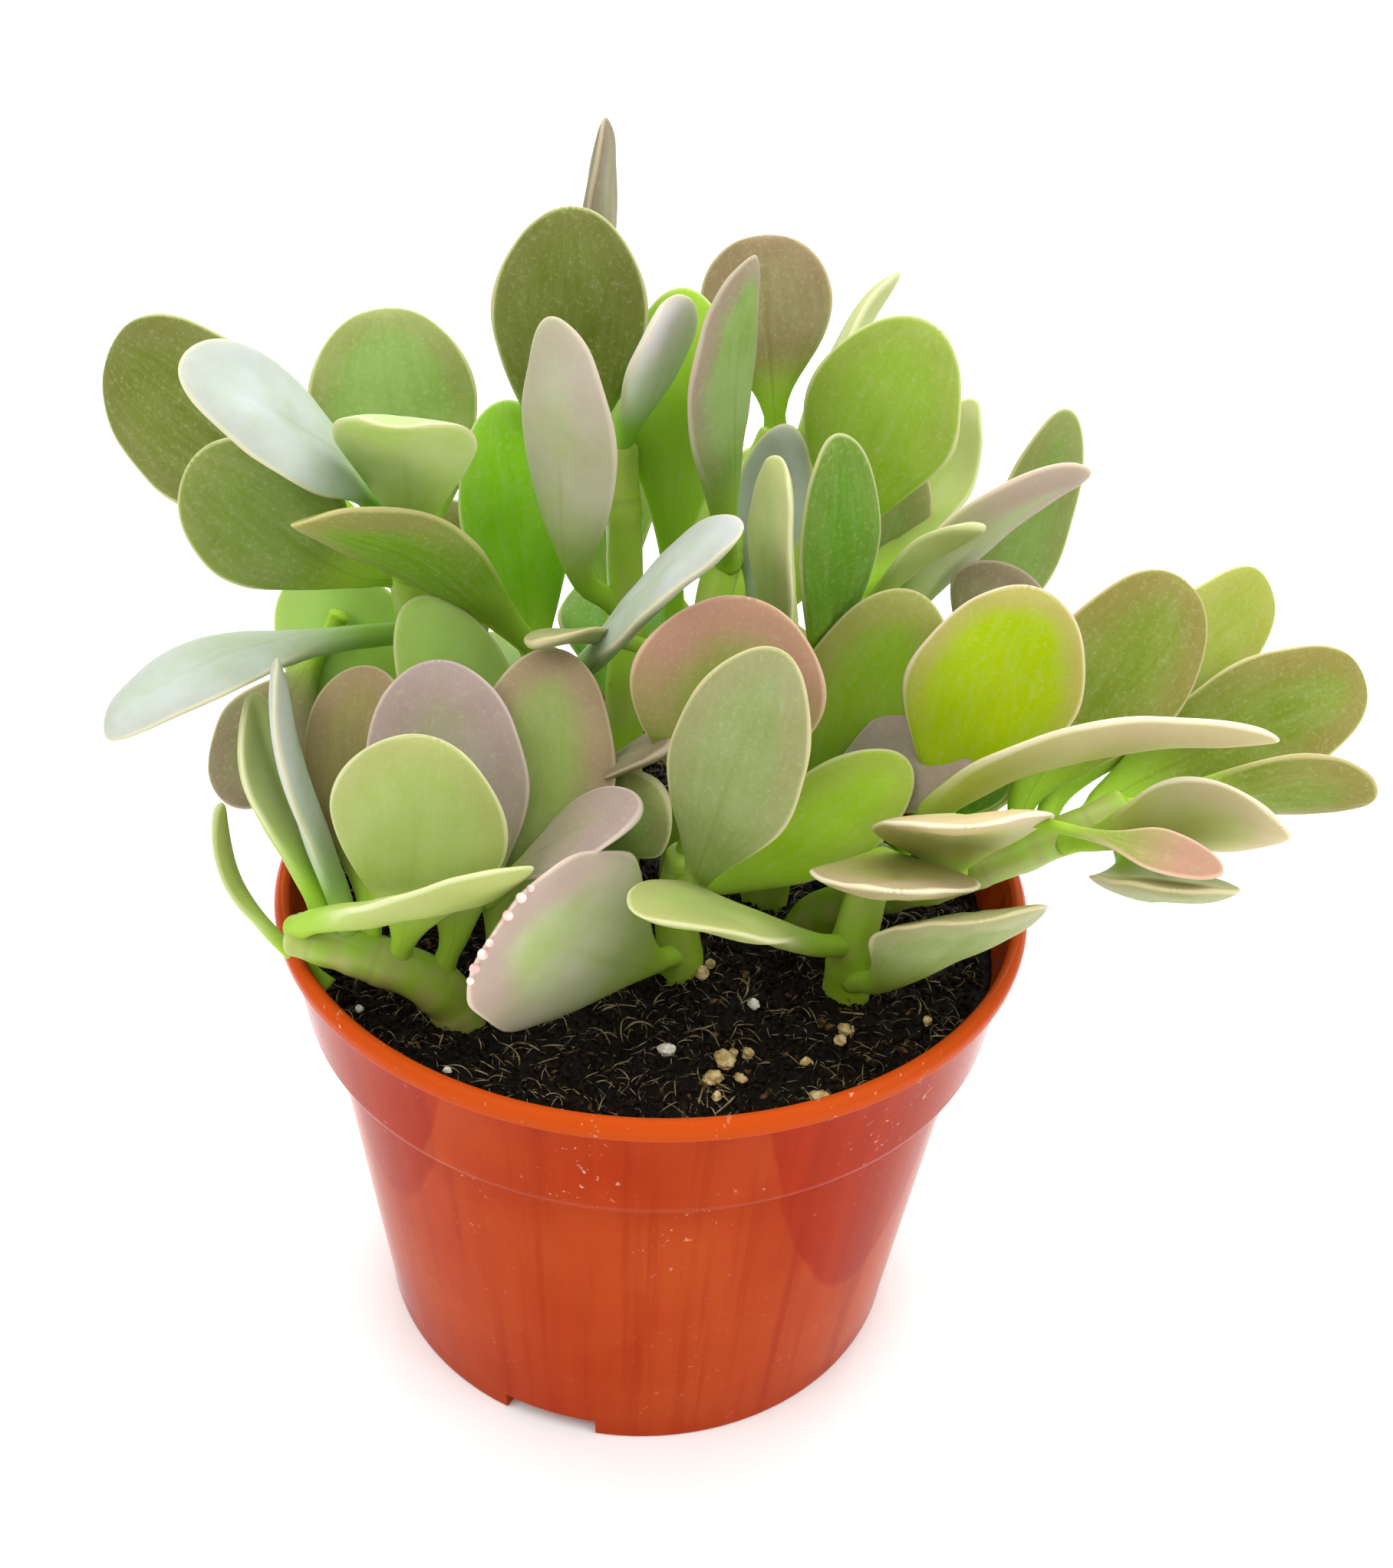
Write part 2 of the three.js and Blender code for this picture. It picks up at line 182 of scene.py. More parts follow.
def smoothThrough(at, values, wanted):  # cubic through the values, straight-ended
    values = np.asarray(values, float)
    slope = np.gradient(values, at, axis=0)
    k = np.clip(np.searchsorted(at, wanted) - 1, 0, len(at) - 2)
    span = at[k + 1] - at[k]
    u = (wanted - at[k]) / span
    if values.ndim > 1:
        u, span = u[:, None], span[:, None]
    h00, h10 = 2 * u**3 - 3 * u**2 + 1, u**3 - 2 * u**2 + u
    h01, h11 = -2 * u**3 + 3 * u**2, u**3 - u**2
    return h00 * values[k] + h10 * span * slope[k] + h01 * values[k + 1] + h11 * span * slope[k + 1]


def unit(v):
    return v / np.maximum(1e-12, np.linalg.norm(v, axis=-1, keepdims=True))


# ---- camera: a little above the plant, looking down at it ----
cameraAim = {
    "stands": (5.954, -228.816, 243.4),
    "looksAt": (5.954, 0, 97.765),
    "roll": -3.147,  # degrees
    "lens": 40.51,
}
back = (place(*cameraAim["stands"]) - place(*cameraAim["looksAt"])).normalized()
level = Vector((1, 0, 0))
rise = back.cross(level)
roll = math.radians(cameraAim["roll"])
right = level * math.cos(roll) - rise * math.sin(roll)
upward = level * math.sin(roll) + rise * math.cos(roll)
cameraData = bpy.data.cameras.new("camera")
cameraData.lens = cameraAim["lens"]
cameraData.sensor_width = 36
cameraData.clip_start, cameraData.clip_end = 0.01, 50
camera = bpy.data.objects.new("camera", cameraData)
turn = Matrix((right, upward, back)).transposed().to_4x4()
camera.matrix_world = Matrix.Translation(place(*cameraAim["stands"])) @ turn
scene.collection.objects.link(camera)
scene.camera = camera

# ---- soft studio light over a pale floor ----
studio = {
    "floorSize": 9000,
    "floorTone": "fbfbfa",
    "airTone": "fcfdff",
    "air": 0.38,
    "lamps": {  # place, width, height, watts, tone
        "ceiling": ((0, 300, 2500), 5200, 5200, 150.0, "ffffff"),
        "window": ((-520, -420, 640), 620, 520, 2.2, "fffdf8"),
        "rightPanel": ((560, -300, 420), 380, 460, 1.4, "f8fbff"),
        "backPanel": ((60, 560, 520), 700, 360, 2.6, "fbfdff"),
    },
}
for lamp, (spot, width, height, watts, tone) in studio["lamps"].items():
    light = bpy.data.lights.new(lamp, "AREA")
    light.shape = "RECTANGLE"
    light.size, light.size_y = width * mm, height * mm
    light.energy = watts
    light.color = shade(tone)[:3]
    holder = bpy.data.objects.new(lamp, light)
    holder.location = place(*spot)
    holder.rotation_mode = "QUATERNION"
    holder.rotation_quaternion = (place(0, 0, 80) - holder.location).to_track_quat("-Z", "Y")
    scene.collection.objects.link(holder)
world = bpy.data.worlds.new("studio")
world.use_nodes = True
world.node_tree.nodes["Background"].inputs["Color"].default_value = shade(studio["airTone"])
world.node_tree.nodes["Background"].inputs["Strength"].default_value = studio["air"]
scene.world = world
scene.view_settings.view_transform = "Standard"  # the plain one keeps each material's own colour

# Matt painted board, next to white, with hardly any shine.
paintedBoard, tree, shader = newMaterial("paintedBoard")
fill(tree, shader, {"Base Color": shade(studio["floorTone"]), "Roughness": 0.9})
half = studio["floorSize"] * mm / 2
floorMesh = bpy.data.meshes.new("floor")
floorMesh.from_pydata(
    [(-half, -half, 0), (half, -half, 0), (half, half, 0), (-half, half, 0)], [], [(0, 1, 2, 3)])
floorMesh.materials.append(paintedBoard)
floor = bpy.data.objects.new("floor", floorMesh)
scene.collection.objects.link(floor)
floor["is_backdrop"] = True
print("camera, light and floor ready")

# ---- pot: thin moulded plastic with a rolled lip, a collar and a foot ring ----
pot = {
    "around": 288,
    "rimRadius": 59,
    "height": 82,
    "wall": 1.8,
    "lipWidth": 2.4,
    "lipDepth": 3,
    "collarFootZ": 62,
    "collarFootRadius": 55.3,
    "bodyTopRadius": 52,
    "footRadius": 44.5,
    "footDepth": 3.5,
    "footRing": 2.6,
    "slots": 3,
    "slotAngle": 20,
    "firstSlotAt": 254,
    "tone": "a62c00",
    "deepTone": "982400",
    # tone of the painted reflection of the pale floor
    "paintedReflectionTone": "be5220",
    "lipTone": "c04a14",
    "dust": "e0b09a",
    # height the painted reflection reaches
    "paintedReflectionTop": 84,
    "scuffBand": (40, 64),
    # two pockets kept free of the painted reflection, as painted reflections of darker things
    "darkReflectionPockets": [(-0.86, 0.42, 42), (0.8, 0.5, 27)],  # middle and half width in radians, lowest height
}


def rounded(corners, arcSteps=9):
    # corners: (radius, height, rounding); each corner becomes an arc
    outline = []
    for k, (r, z, bend) in enumerate(corners):
        here = np.array((r, z), float)
        if bend == 0 or k in (0, len(corners) - 1):
            outline.append(here)
            continue
        before = np.array(corners[k - 1][:2], float) - here
        after = np.array(corners[k + 1][:2], float) - here
        cut = min(bend, np.linalg.norm(before) * 0.45, np.linalg.norm(after) * 0.45)
        a, b = here + unit(before) * cut, here + unit(after) * cut
        for s in np.linspace(0, 1, arcSteps):
            outline.append((1 - s)**2 * a + 2 * s * (1 - s) * here + s * s * b)
    return outline


def potOutline():
    rim, top, wall = pot["rimRadius"], pot["height"], pot["wall"]
    foot, floorZ = pot["footRadius"], pot["footDepth"]
    collarZ, collar, body = pot["collarFootZ"], pot["collarFootRadius"], pot["bodyTopRadius"]
    inner = rim - pot["lipWidth"]
    return rounded([
        (0, floorZ, 0),
        (foot * 0.3, floorZ, 0), (foot * 0.32, floorZ - 0.25, 0.2), (foot * 0.4, floorZ - 0.25, 0.2),
        (foot * 0.42, floorZ, 0),
        (foot - pot["footRing"], floorZ, 0.5), (foot - pot["footRing"], 0, 0.5),
        (foot, 0, 0.6), (foot + 0.3, floorZ, 0.3),
        (foot + 0.3 + (body - foot) * 0.3, floorZ + (collarZ - floorZ) * 0.3, 0),
        (foot + 0.3 + (body - foot) * 0.65, floorZ + (collarZ - floorZ) * 0.65, 0),
        (body, collarZ - 2.6, 1.0), (collar - 0.1, collarZ + 0.2, 1.3),
        (collar + 1.2, (collarZ + top) / 2 - 1, 0),
        (rim - 0.75, top - pot["lipDepth"] - 0.3, 0.4), (rim - 0.1, top - pot["lipDepth"] + 0.1, 0.4),
        (rim, top - 1.1, 0.8), (rim - 0.9, top, 0.8),
        (inner + 0.7, top, 0.6), (inner, top - 0.7, 0.6),
        (collar - wall, collarZ + wall, 1), (body - wall, collarZ - 3.3, 1),
        (foot - wall, floorZ + wall, 1), (0, floorZ + wall, 0),
    ])


def buildPot(material):
    outline = potOutline()
    around = pot["around"]
    points = []
    for r, z in outline[1:-1]:
        for i in range(around):
            angle = 2 * math.pi * i / around
            points.append(place(r * math.cos(angle), r * math.sin(angle), z))
    points += [place(0, 0, outline[0][1]), place(0, 0, outline[-1][1])]
    faces = tubeFaces(len(outline) - 2, around, len(points) - 2, len(points) - 1)
    return closedMesh("pot_moulded", points, faces, material)


def cutSlots(piece):
    reach, near = pot["footRadius"] * 1.1, pot["footRadius"] * 0.86
    halfTurn = math.radians(pot["slotAngle"] / 2)
    for k in range(pot["slots"]):
        middle = math.radians(pot["firstSlotAt"] + 360 / pot["slots"] * k)
        ring = [(near, -1), (reach, -1), (reach, 1), (near, 1)]
        corners = []
        for z in (-2, pot["footDepth"] + 0.02):
            for r, sign in ring:
                a = middle + sign * halfTurn
                corners.append(place(r * math.cos(a), r * math.sin(a), z))
        wedge = closedMesh("wedge", corners, [
            (0, 1, 2, 3), (4, 5, 6, 7), (0, 1, 5, 4), (1, 2, 6, 5), (2, 3, 7, 6), (3, 0, 4, 7)
        ], piece.data.materials[0])
        cut = piece.modifiers.new("slot", "BOOLEAN")
        cut.operation, cut.object, cut.solver = "DIFFERENCE", wedge, "EXACT"
        applyModifiers(piece)
        bpy.data.objects.remove(wedge)


def applyModifiers(piece):
    bpy.context.view_layer.update()
    seen = piece.evaluated_get(bpy.context.evaluated_depsgraph_get())
    mesh = bpy.data.meshes.new_from_object(seen)
    piece.modifiers.clear()
    piece.data = mesh
    return piece


def potPlastic():
    # Injection-moulded polypropylene, glossy: faint flow lines run down it, a painted reflection of the pale
    # floor lightens the wall but for two pockets left dark as painted reflections of darker things, scuffs
    # gather on the collar and the lip is brighter.
    material, tree, shader = newMaterial("mouldedPolypropylene")
    where = ownPlace(tree)
    centred = addNode(tree, "ShaderNodeMapping", {
        "Vector": where, "Location": (-potCentre.x, -potCentre.y, 0)}).outputs[0]
    apart = addNode(tree, "ShaderNodeSeparateXYZ", {0: centred}).outputs
    height = apart["Z"]
    toFront = reckon(tree, "MULTIPLY", apart["Y"], -1.0)
    aroundPot = reckon(tree, "ARCTAN2", apart["X"], toFront)
    lip = ramp(tree, height, (pot["height"] - 3.4) * mm, (pot["height"] - 2.6) * mm, smooth=True)
    # flow lines a few millimetres apart round the pot and as tall as the wall
    unrolled = addNode(tree, "ShaderNodeCombineXYZ", {
        0: reckon(tree, "MULTIPLY", aroundPot, 0.05),
        1: reckon(tree, "MULTIPLY", height, 0.03)})
    flow = noise(tree, unrolled.outputs[0], perMetre(4), 4, 0.6)
    cloud = noise(tree, centred, perMetre(30), 4)
    flowMask = ramp(tree, flow, 0.35, 0.65)
    body = blend(tree, flowMask, shade(pot["deepTone"]), shade(pot["tone"]))
    # painted reflection of the pale floor: everywhere on the wall but for two pockets under the collar, left
    # dark as painted reflections of darker things
    paintedReflectionParts = []
    for middle, wide, low in pot["darkReflectionPockets"]:
        aside = reckon(tree, "SUBTRACT", aroundPot, middle)
        share = reckon(tree, "DIVIDE", aside, wide)
        bowl = reckon(tree, "POWER", share, 2.0)
        ragged = reckon(tree, "MULTIPLY", cloud, 0.014)
        edgeZ = reckon(tree, "MULTIPLY_ADD", bowl, (pot["paintedReflectionTop"] - low) * mm, (low - 7) * mm)
        brim = reckon(tree, "ADD", edgeZ, ragged)
        under = reckon(tree, "SUBTRACT", brim, height)
        paintedReflectionParts.append(ramp(tree, under, -0.0008, 0.0012))
    darkReflectionPockets = reckon(tree, "MULTIPLY", paintedReflectionParts[0], paintedReflectionParts[1])
    # painted reflection: patchy, in streaks, and cut away in the two pockets
    patchy = ramp(tree, cloud, 0.3, 0.68, 0.12, 0.62)
    streaky = ramp(tree, flow, 0.34, 0.48, 0.45, 1.0)
    thick = reckon(tree, "MULTIPLY", patchy, streaky)
    paintedReflectionMask = reckon(tree, "MULTIPLY", thick, darkReflectionPockets)
    withPaintedReflection = blend(tree, paintedReflectionMask, body, shade(pot["paintedReflectionTone"]))
    lipped = blend(tree, lip, withPaintedReflection, shade(pot["lipTone"]))
    # scuffs: pale dashes 1 to 3 mm long, gathered where pots rub in a stack
    dash = addNode(tree, "ShaderNodeMapping", {
        "Vector": centred, "Rotation": (0.3, 0.5, 0.2), "Scale": (1, 0.32, 1)}).outputs[0]
    fleck = noise(tree, dash, perMetre(1.1), 2, 0.7)
    patch = noise(tree, centred, perMetre(17), 1)
    patchMask = ramp(tree, patch, 0.45, 0.62)
    fleckMask = ramp(tree, fleck, 0.655, 0.72)
    scuffLow, scuffHigh = pot["scuffBand"]
    collarBand = ramp(tree, height, scuffLow * mm, scuffHigh * mm, 0.2, 0.85)
    scuffed = reckon(tree, "MULTIPLY", patchMask, fleckMask)
    scuff = reckon(tree, "MULTIPLY", scuffed, collarBand)
    dusty = blend(tree, scuff, lipped, shade(pot["dust"]))
    polished = ramp(tree, cloud, 0.3, 0.7, 0.1, 0.2)
    roughness = addNode(tree, "ShaderNodeMath", {0: polished, 1: scuff}, operation="ADD", use_clamp=True)
    fill(tree, shader, {
        "Base Color": dusty, "Roughness": roughness.outputs[0], "IOR": 1.49, "Specular IOR Level": 0.03,
        "Normal": bump(tree, 0.08, 0.0004, flow)})
    return material


potPiece = buildPot(potPlastic())
cutSlots(potPiece)
for polygon in potPiece.data.polygons:
    polygon.use_smooth = True
potPiece.data.set_sharp_from_angle(angle=math.radians(38))
potPiece.name = "pot_moulded"
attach(potPiece, "root")
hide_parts("pot")
print("pot built:", len(potPiece.data.polygons), "faces")

# ---- soil: dark peat with fibres, perlite and a few pale chips ----
soilLow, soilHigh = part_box("soil")
soil = {
    "radius": (soilHigh.x - soilLow.x) / 2 / mm - 0.2,
    "crown": soilHigh.z / mm - 1.6,
    "rings": 64,
    "around": 192,
    "lump": 1.3,  # height of the lumps
    "crumb": 0.55,
    "fall": 1.4,  # from the middle to the wall
    "edgeSink": 1.2,
    "deep": 8.5,
    "peat": "060403",
    "peatLight": "1d1610",
}


def layeredNoise(x, y, size, layers=3, seed=0):
    # smooth lumps built from sine waves in scattered directions
    total, share = np.zeros_like(x), 1.0
    roller = np.random.default_rng(seed)
    for layer in range(layers):
        for _ in range(7):
            turn, phase = roller.uniform(0, 2 * math.pi, 2)
            wave = 2 * math.pi / (size * roller.uniform(0.75, 1.4))
            total = total + share * np.sin((x * math.cos(turn) + y * math.sin(turn)) * wave + phase)
        share, size = share * 0.55, size * 0.45
    return total / 5


def soilHeight(x, y):
    r = np.hypot(x, y)
    dome = soil["crown"] - soil["fall"] * (r / soil["radius"])**2
    lumps = soil["lump"] * layeredNoise(x, y, 13, 3, 3) + soil["crumb"] * layeredNoise(x, y, 2.6, 2, 5)
    sink = -soil["edgeSink"] * ease((r / soil["radius"] - 0.86) / 0.14)
    return dome + lumps * 0.62 + sink


def peatMaterial():
    # Milled peat: near black when damp, brown where it has dried, with a grain under a millimetre.
    material, tree, shader = newMaterial("dampPeat")
    where = ownPlace(tree)
    grain = noise(tree, where, perMetre(1.0), 5, 0.7)
    dry = noise(tree, where, perMetre(9), 2)
    both = reckon(tree, "MULTIPLY", grain, dry)
    mask = ramp(tree, both, 0.22, 0.42)
    tone = blend(tree, mask, shade(soil["peat"]), shade(soil["peatLight"]))
    damp = ramp(tree, grain, 0.35, 0.65, 0.45, 0.95)
    fill(tree, shader, {"Base Color": tone, "Roughness": damp, "Specular IOR Level": 0.15,
                        "Normal": bump(tree, 0.7, 0.0005, grain)})
    return material


def earthyMaterial(name, tone, darker, size, roughness):
    material, tree, shader = newMaterial(name)
    where = ownPlace(tree)
    speckle = noise(tree, where, perMetre(size), 3)
    mask = ramp(tree, speckle, 0.38, 0.62)
    mixed = blend(tree, mask, shade(darker), shade(tone))
    fill(tree, shader, {"Base Color": mixed, "Roughness": roughness, "Specular IOR Level": 0.1,
                        "Normal": bump(tree, 0.5, 0.0003, speckle)})
    return material


def buildSoil(material):
    rings, around = soil["rings"], soil["around"]
    angle = np.linspace(0, 2 * math.pi, around, endpoint=False)
    points = []
    for k in range(1, rings + 1):
        r = soil["radius"] * k / rings
        x, y = r * np.cos(angle), r * np.sin(angle)
        z = soilHeight(x, y)
        points += [place(*p) for p in zip(x, y, z)]
    for drop, share in ((4, 0.992), (soil["deep"], 0.96)):
        r = soil["radius"] * share
        points += [place(r * math.cos(a), r * math.sin(a), soil["crown"] - drop - 1.5) for a in angle]
    middle = float(soilHeight(np.zeros(1), np.zeros(1))[0])
    points += [place(0, 0, middle), place(0, 0, soil["crown"] - soil["deep"] - 1.5)]
    faces = tubeFaces(rings + 2, around, len(points) - 2, len(points) - 1)
    return closedMesh("soil_peat", points, faces, material)


def roughLump(name, material, squeeze, seed, detail=1):
    lump = bmesh.new()
    bmesh.ops.create_icosphere(lump, subdivisions=detail, radius=0.5)
    roller = np.random.default_rng(seed)
    for v in lump.verts:
        v.co *= roller.uniform(0.62, 1.12)
        v.co.z *= squeeze
    return meshPiece(name, lump, material, smooth=False)


def curledFibre(name, material, seed, steps=9, sides=3, thick=0.055):
    # one unit long, a loose curl of root or bark fibre
    roller = np.random.default_rng(seed)
    bend, sway, lift = roller.uniform(-2.4, 2.4), roller.uniform(-0.5, 0.5), roller.uniform(0.05, 0.3)
    spots, heading = [np.zeros(3)], 0.0
    for k in range(steps):
        heading += bend / steps * (1 + sway * k / steps)
        spots.append(spots[-1] + np.array((math.cos(heading), math.sin(heading), 0)) / steps)
    spots = np.array(spots)
    spots[:, 2] = lift * np.sin(np.linspace(0, math.pi, len(spots)))
    spots -= spots.mean(0) * (1, 1, 0)
    ahead = unit(np.gradient(spots, axis=0))
    across = unit(np.cross(ahead, (0, 0, 1)))
    over = np.cross(across, ahead)
    points = []
    for k in range(len(spots)):
        size = thick * (1 - 0.6 * abs(2 * k / (len(spots) - 1) - 1)**3)
        for i in range(sides):
            a = 2 * math.pi * i / sides
            points.append(spots[k] + size / 2 * (across[k] * math.cos(a) + over[k] * math.sin(a)))
    points += [spots[0], spots[-1]]
    faces = tubeFaces(len(spots), sides, len(points) - 2, len(points) - 1)
    return closedMesh(name, points, faces, material)


def scatterTree(name):
    # points spread over the soil, a grain set on each, sized, turned and laid down
    tree = bpy.data.node_groups.new(name, "GeometryNodeTree")
    wanted = [
        ("Geometry", "NodeSocketGeometry", None), ("Grains per m2", "NodeSocketFloat", 1e5),
        ("Seed", "NodeSocketInt", 1), ("Smallest", "NodeSocketFloat", 0.001),
        ("Largest", "NodeSocketFloat", 0.002), ("Tilt", "NodeSocketFloat", 1.0),
        ("Grain", "NodeSocketCollection", None), ("Material", "NodeSocketMaterial", None)]
    for label, kind, value in wanted:
        made = tree.interface.new_socket(label, in_out="INPUT", socket_type=kind)
        if value is not None:
            made.default_value = value
    tree.interface.new_socket("Geometry", in_out="OUTPUT", socket_type="NodeSocketGeometry")
    given = addNode(tree, "NodeGroupInput").outputs
    spread = addNode(tree, "GeometryNodeDistributePointsOnFaces", {
        "Mesh": given["Geometry"], "Density": given["Grains per m2"], "Seed": given["Seed"]},
        distribute_method="RANDOM")
    size = addNode(tree, "FunctionNodeRandomValue", {
        2: given["Smallest"], 3: given["Largest"], "Seed": given["Seed"]}, data_type="FLOAT")
    lean = reckon(tree, "MULTIPLY", given["Tilt"], -1)
    low = addNode(tree, "ShaderNodeCombineXYZ", {0: lean, 1: lean, 2: 0.0})
    high = addNode(tree, "ShaderNodeCombineXYZ", {0: given["Tilt"], 1: given["Tilt"], 2: 6.283})
    spin = addNode(tree, "FunctionNodeRandomValue", {
        0: low.outputs[0], 1: high.outputs[0], "Seed": given["Seed"]}, data_type="FLOAT_VECTOR")
    grains = addNode(tree, "GeometryNodeCollectionInfo", {
        "Collection": given["Grain"], "Separate Children": True, "Reset Children": True})
    sown = addNode(tree, "GeometryNodeInstanceOnPoints", {
        "Points": spread.outputs["Points"], "Instance": grains.outputs[0], "Pick Instance": True,
        "Rotation": spin.outputs[0], "Scale": size.outputs[1]})
    real = addNode(tree, "GeometryNodeRealizeInstances", {0: sown.outputs[0]})
    painted = addNode(tree, "GeometryNodeSetMaterial", {
        "Geometry": real.outputs[0], "Material": given["Material"]})
    addNode(tree, "NodeGroupOutput", {0: painted.outputs[0]})
    return tree


def sow(name, tree, bed, kinds, material, perM2, seed, smallest, largest, tilt):
    shelf = bpy.data.collections.new(name + "_kinds")
    for kind in kinds:
        shelf.objects.link(kind)
    carrier = bpy.data.objects.new(name, bed)
    scene.collection.objects.link(carrier)
    spread = carrier.modifiers.new("sow", "NODES")
    spread.node_group = tree
    values = {"Grains per m2": perM2, "Seed": seed, "Smallest": smallest * mm,
              "Largest": largest * mm, "Tilt": tilt, "Grain": shelf, "Material": material}
    for item in tree.interface.items_tree:
        if item.in_out == "INPUT" and item.name in values:
            spread[item.identifier] = values[item.name]
    carrier.update_tag()
    applyModifiers(carrier)
    for kind in kinds:
        bpy.data.objects.remove(kind)
    bpy.data.collections.remove(shelf)
    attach(carrier, "root")
    return carrier


peat = peatMaterial()
soilPiece = buildSoil(peat)
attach(soilPiece, "root")
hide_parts("soil")

topFaces = [p.vertices[:] for p in soilPiece.data.polygons
            if p.normal.z > 0.2 and (p.center - potCentre).xy.length < (soil["radius"] - 1.5) * mm]
bed = bpy.data.meshes.new("soilTop")
bed.from_pydata([v.co[:] for v in soilPiece.data.vertices], [], topFaces)
sowing = scatterTree("sowOverSoil")
crumbPeat = earthyMaterial("peatCrumb", "231a12", "070403", 0.8, 0.8)
barkFibre = earthyMaterial("barkFibre", "9c8e68", "2e2416", 2.0, 0.7)
rootHair = earthyMaterial("rootHair", "b0a078", "1a140d", 1.4, 0.7)
puffedPerlite = earthyMaterial("puffedPerlite", "efece2", "c9c2b0", 0.7, 0.9)
clayChip = earthyMaterial("clayChip", "dcc695", "a98a55", 1.1, 0.9)
sow("soil_crumbs", sowing, bed, [roughLump(f"crumb{k}", crumbPeat, 0.7, 20 + k) for k in range(5)],
    crumbPeat, 7.5e5, 4, 0.6, 2.3, 1.2)
sow("soil_fibres", sowing, bed, [curledFibre(f"fibre{k}", barkFibre, 40 + k) for k in range(7)],
    barkFibre, 5.2e4, 9, 1.8, 7.0, 0.6)
sow("soil_hairs", sowing, bed,
    [curledFibre(f"hair{k}", rootHair, 60 + k, steps=7, thick=0.035) for k in range(6)],
    rootHair, 3.0e5, 12, 1.4, 5.2, 0.7)
barkCrumb = earthyMaterial("barkCrumb", "6e5234", "2c1d10", 1.5, 0.8)
sow("soil_bark", sowing, bed, [roughLump(f"bark{k}", barkCrumb, 0.45, 80 + k) for k in range(4)],
    barkCrumb, 2.2e4, 17, 0.8, 2.8, 1.2)
sow("soil_perlite", sowing, bed,
    [roughLump(f"perlite{k}", puffedPerlite, 0.8, 80 + k, 2) for k in range(4)],
    puffedPerlite, 2.6e3, 15, 0.6, 1.7, 1.0)

# chips large enough to be seen one by one: place over the pot, length, squeeze
chips = {
    "soil_perlite_large": (puffedPerlite, [
        (3.7, -34.6, 2.6, 0.7), (16.3, -22.9, 2.2, 0.7), (-27, -41, 1.3, 0.8), (-42, -28, 1.6, 0.7)]),
    "soil_chips": (clayChip, [
        (25.7, -42.3, 3.0, 0.6), (8.3, -17.4, 2.8, 0.7), (9.6, -15.2, 1.8, 0.8),
        (12.2, -36, 3.6, 0.6), (10.6, -39.6, 3.0, 0.7), (15.6, -34, 2.2, 0.8), (13.4, -34.2, 1.6, 0.8),
        (14.6, -38.2, 2.0, 0.7), (11.2, -43, 1.7, 0.7), (30, -27.5, 2.6, 0.6), (29, -30.4, 2.2, 0.7),
        (24, -35, 2.0, 0.6), (42.3, -24.7, 1.8, 0.7)]),
}
for name, (material, spots) in chips.items():
    lumps = bmesh.new()
    for k, (x, y, size, squeeze) in enumerate(spots):
        z = float(soilHeight(np.array([x]), np.array([y]))[0]) + size * 0.22
        seat = Matrix.Translation(place(x, y, z)) @ Matrix.Rotation(k * 1.7, 4, "Z")
        seat = seat @ Matrix.Diagonal((size * mm, size * mm * 0.78, size * mm * squeeze, 1))
        made = bmesh.ops.create_icosphere(lumps, subdivisions=3, radius=0.5, matrix=seat)
        middle = place(x, y, z)
        for v in made["verts"]:
            out = v.co - middle
            turn = np.array(out) / mm
            knock = math.sin(turn[0] * 5 + k) * math.cos(turn[1] * 6 - k) + math.sin(turn[2] * 7 + k * 2)
            v.co = middle + out * (1 + 0.13 * knock)
    piece = meshPiece(name, lumps, material)
    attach(piece, "root")
print("soil built")

# ---- reading a leaf or stem cage from the frame ----


def cageOf(nodeName, sides):
    # rings of the cage from its root end to its tip, in order and lined up, with both poles
    cage = bmesh.new()
    cage.from_mesh(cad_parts[nodeName].data)
    bmesh.ops.remove_doubles(cage, verts=cage.verts[:], dist=2e-6)
    poles = [v for v in cage.verts if len(v.link_edges) == sides]

    def walk(members):
        members = set(members)
        first = min(members, key=lambda v: v.index)
        order, here, before = [first], first, None
        while len(order) < len(members):
            ahead = [e.other_vert(here) for e in here.link_edges]
            ahead = [v for v in ahead if v in members and v is not before and v not in order]
            before, here = here, ahead[0]
            order.append(here)
        return order

    def ringFrom(pole):
        return walk([e.other_vert(pole) for e in pole.link_edges])

    def spreadOf(ring):
        away = [(v.co - sum((w.co for w in ring), Vector()) / len(ring)).length for v in ring]
        return max(away) / min(away)

    cage.verts.index_update()
    if sides == 8:
        poles.sort(key=lambda pole: spreadOf(ringFrom(pole)))
    else:
        poles.sort(key=lambda pole: pole.co.z)
    rings = [ringFrom(poles[0])]
    seen = {poles[0], *rings[0]}
    while True:
        following = {e.other_vert(v) for v in rings[-1] for e in v.link_edges} - seen
        following -= {poles[-1]}
        if not following:
            break
        ring = walk(following)
        seen |= following
        options = []
        for ordered in (ring, ring[::-1]):
            for shift in range(sides):
                turned = ordered[shift:] + ordered[:shift]
                gap = sum((a.co - b.co).length for a, b in zip(rings[-1], turned))
                options.append((gap, len(options), turned))
        rings.append(min(options)[2])
    found = np.array([[v.co[:] for v in ring] for ring in rings])
    ends = np.array([poles[0].co[:], poles[-1].co[:]])
    cage.free()
    return found, ends


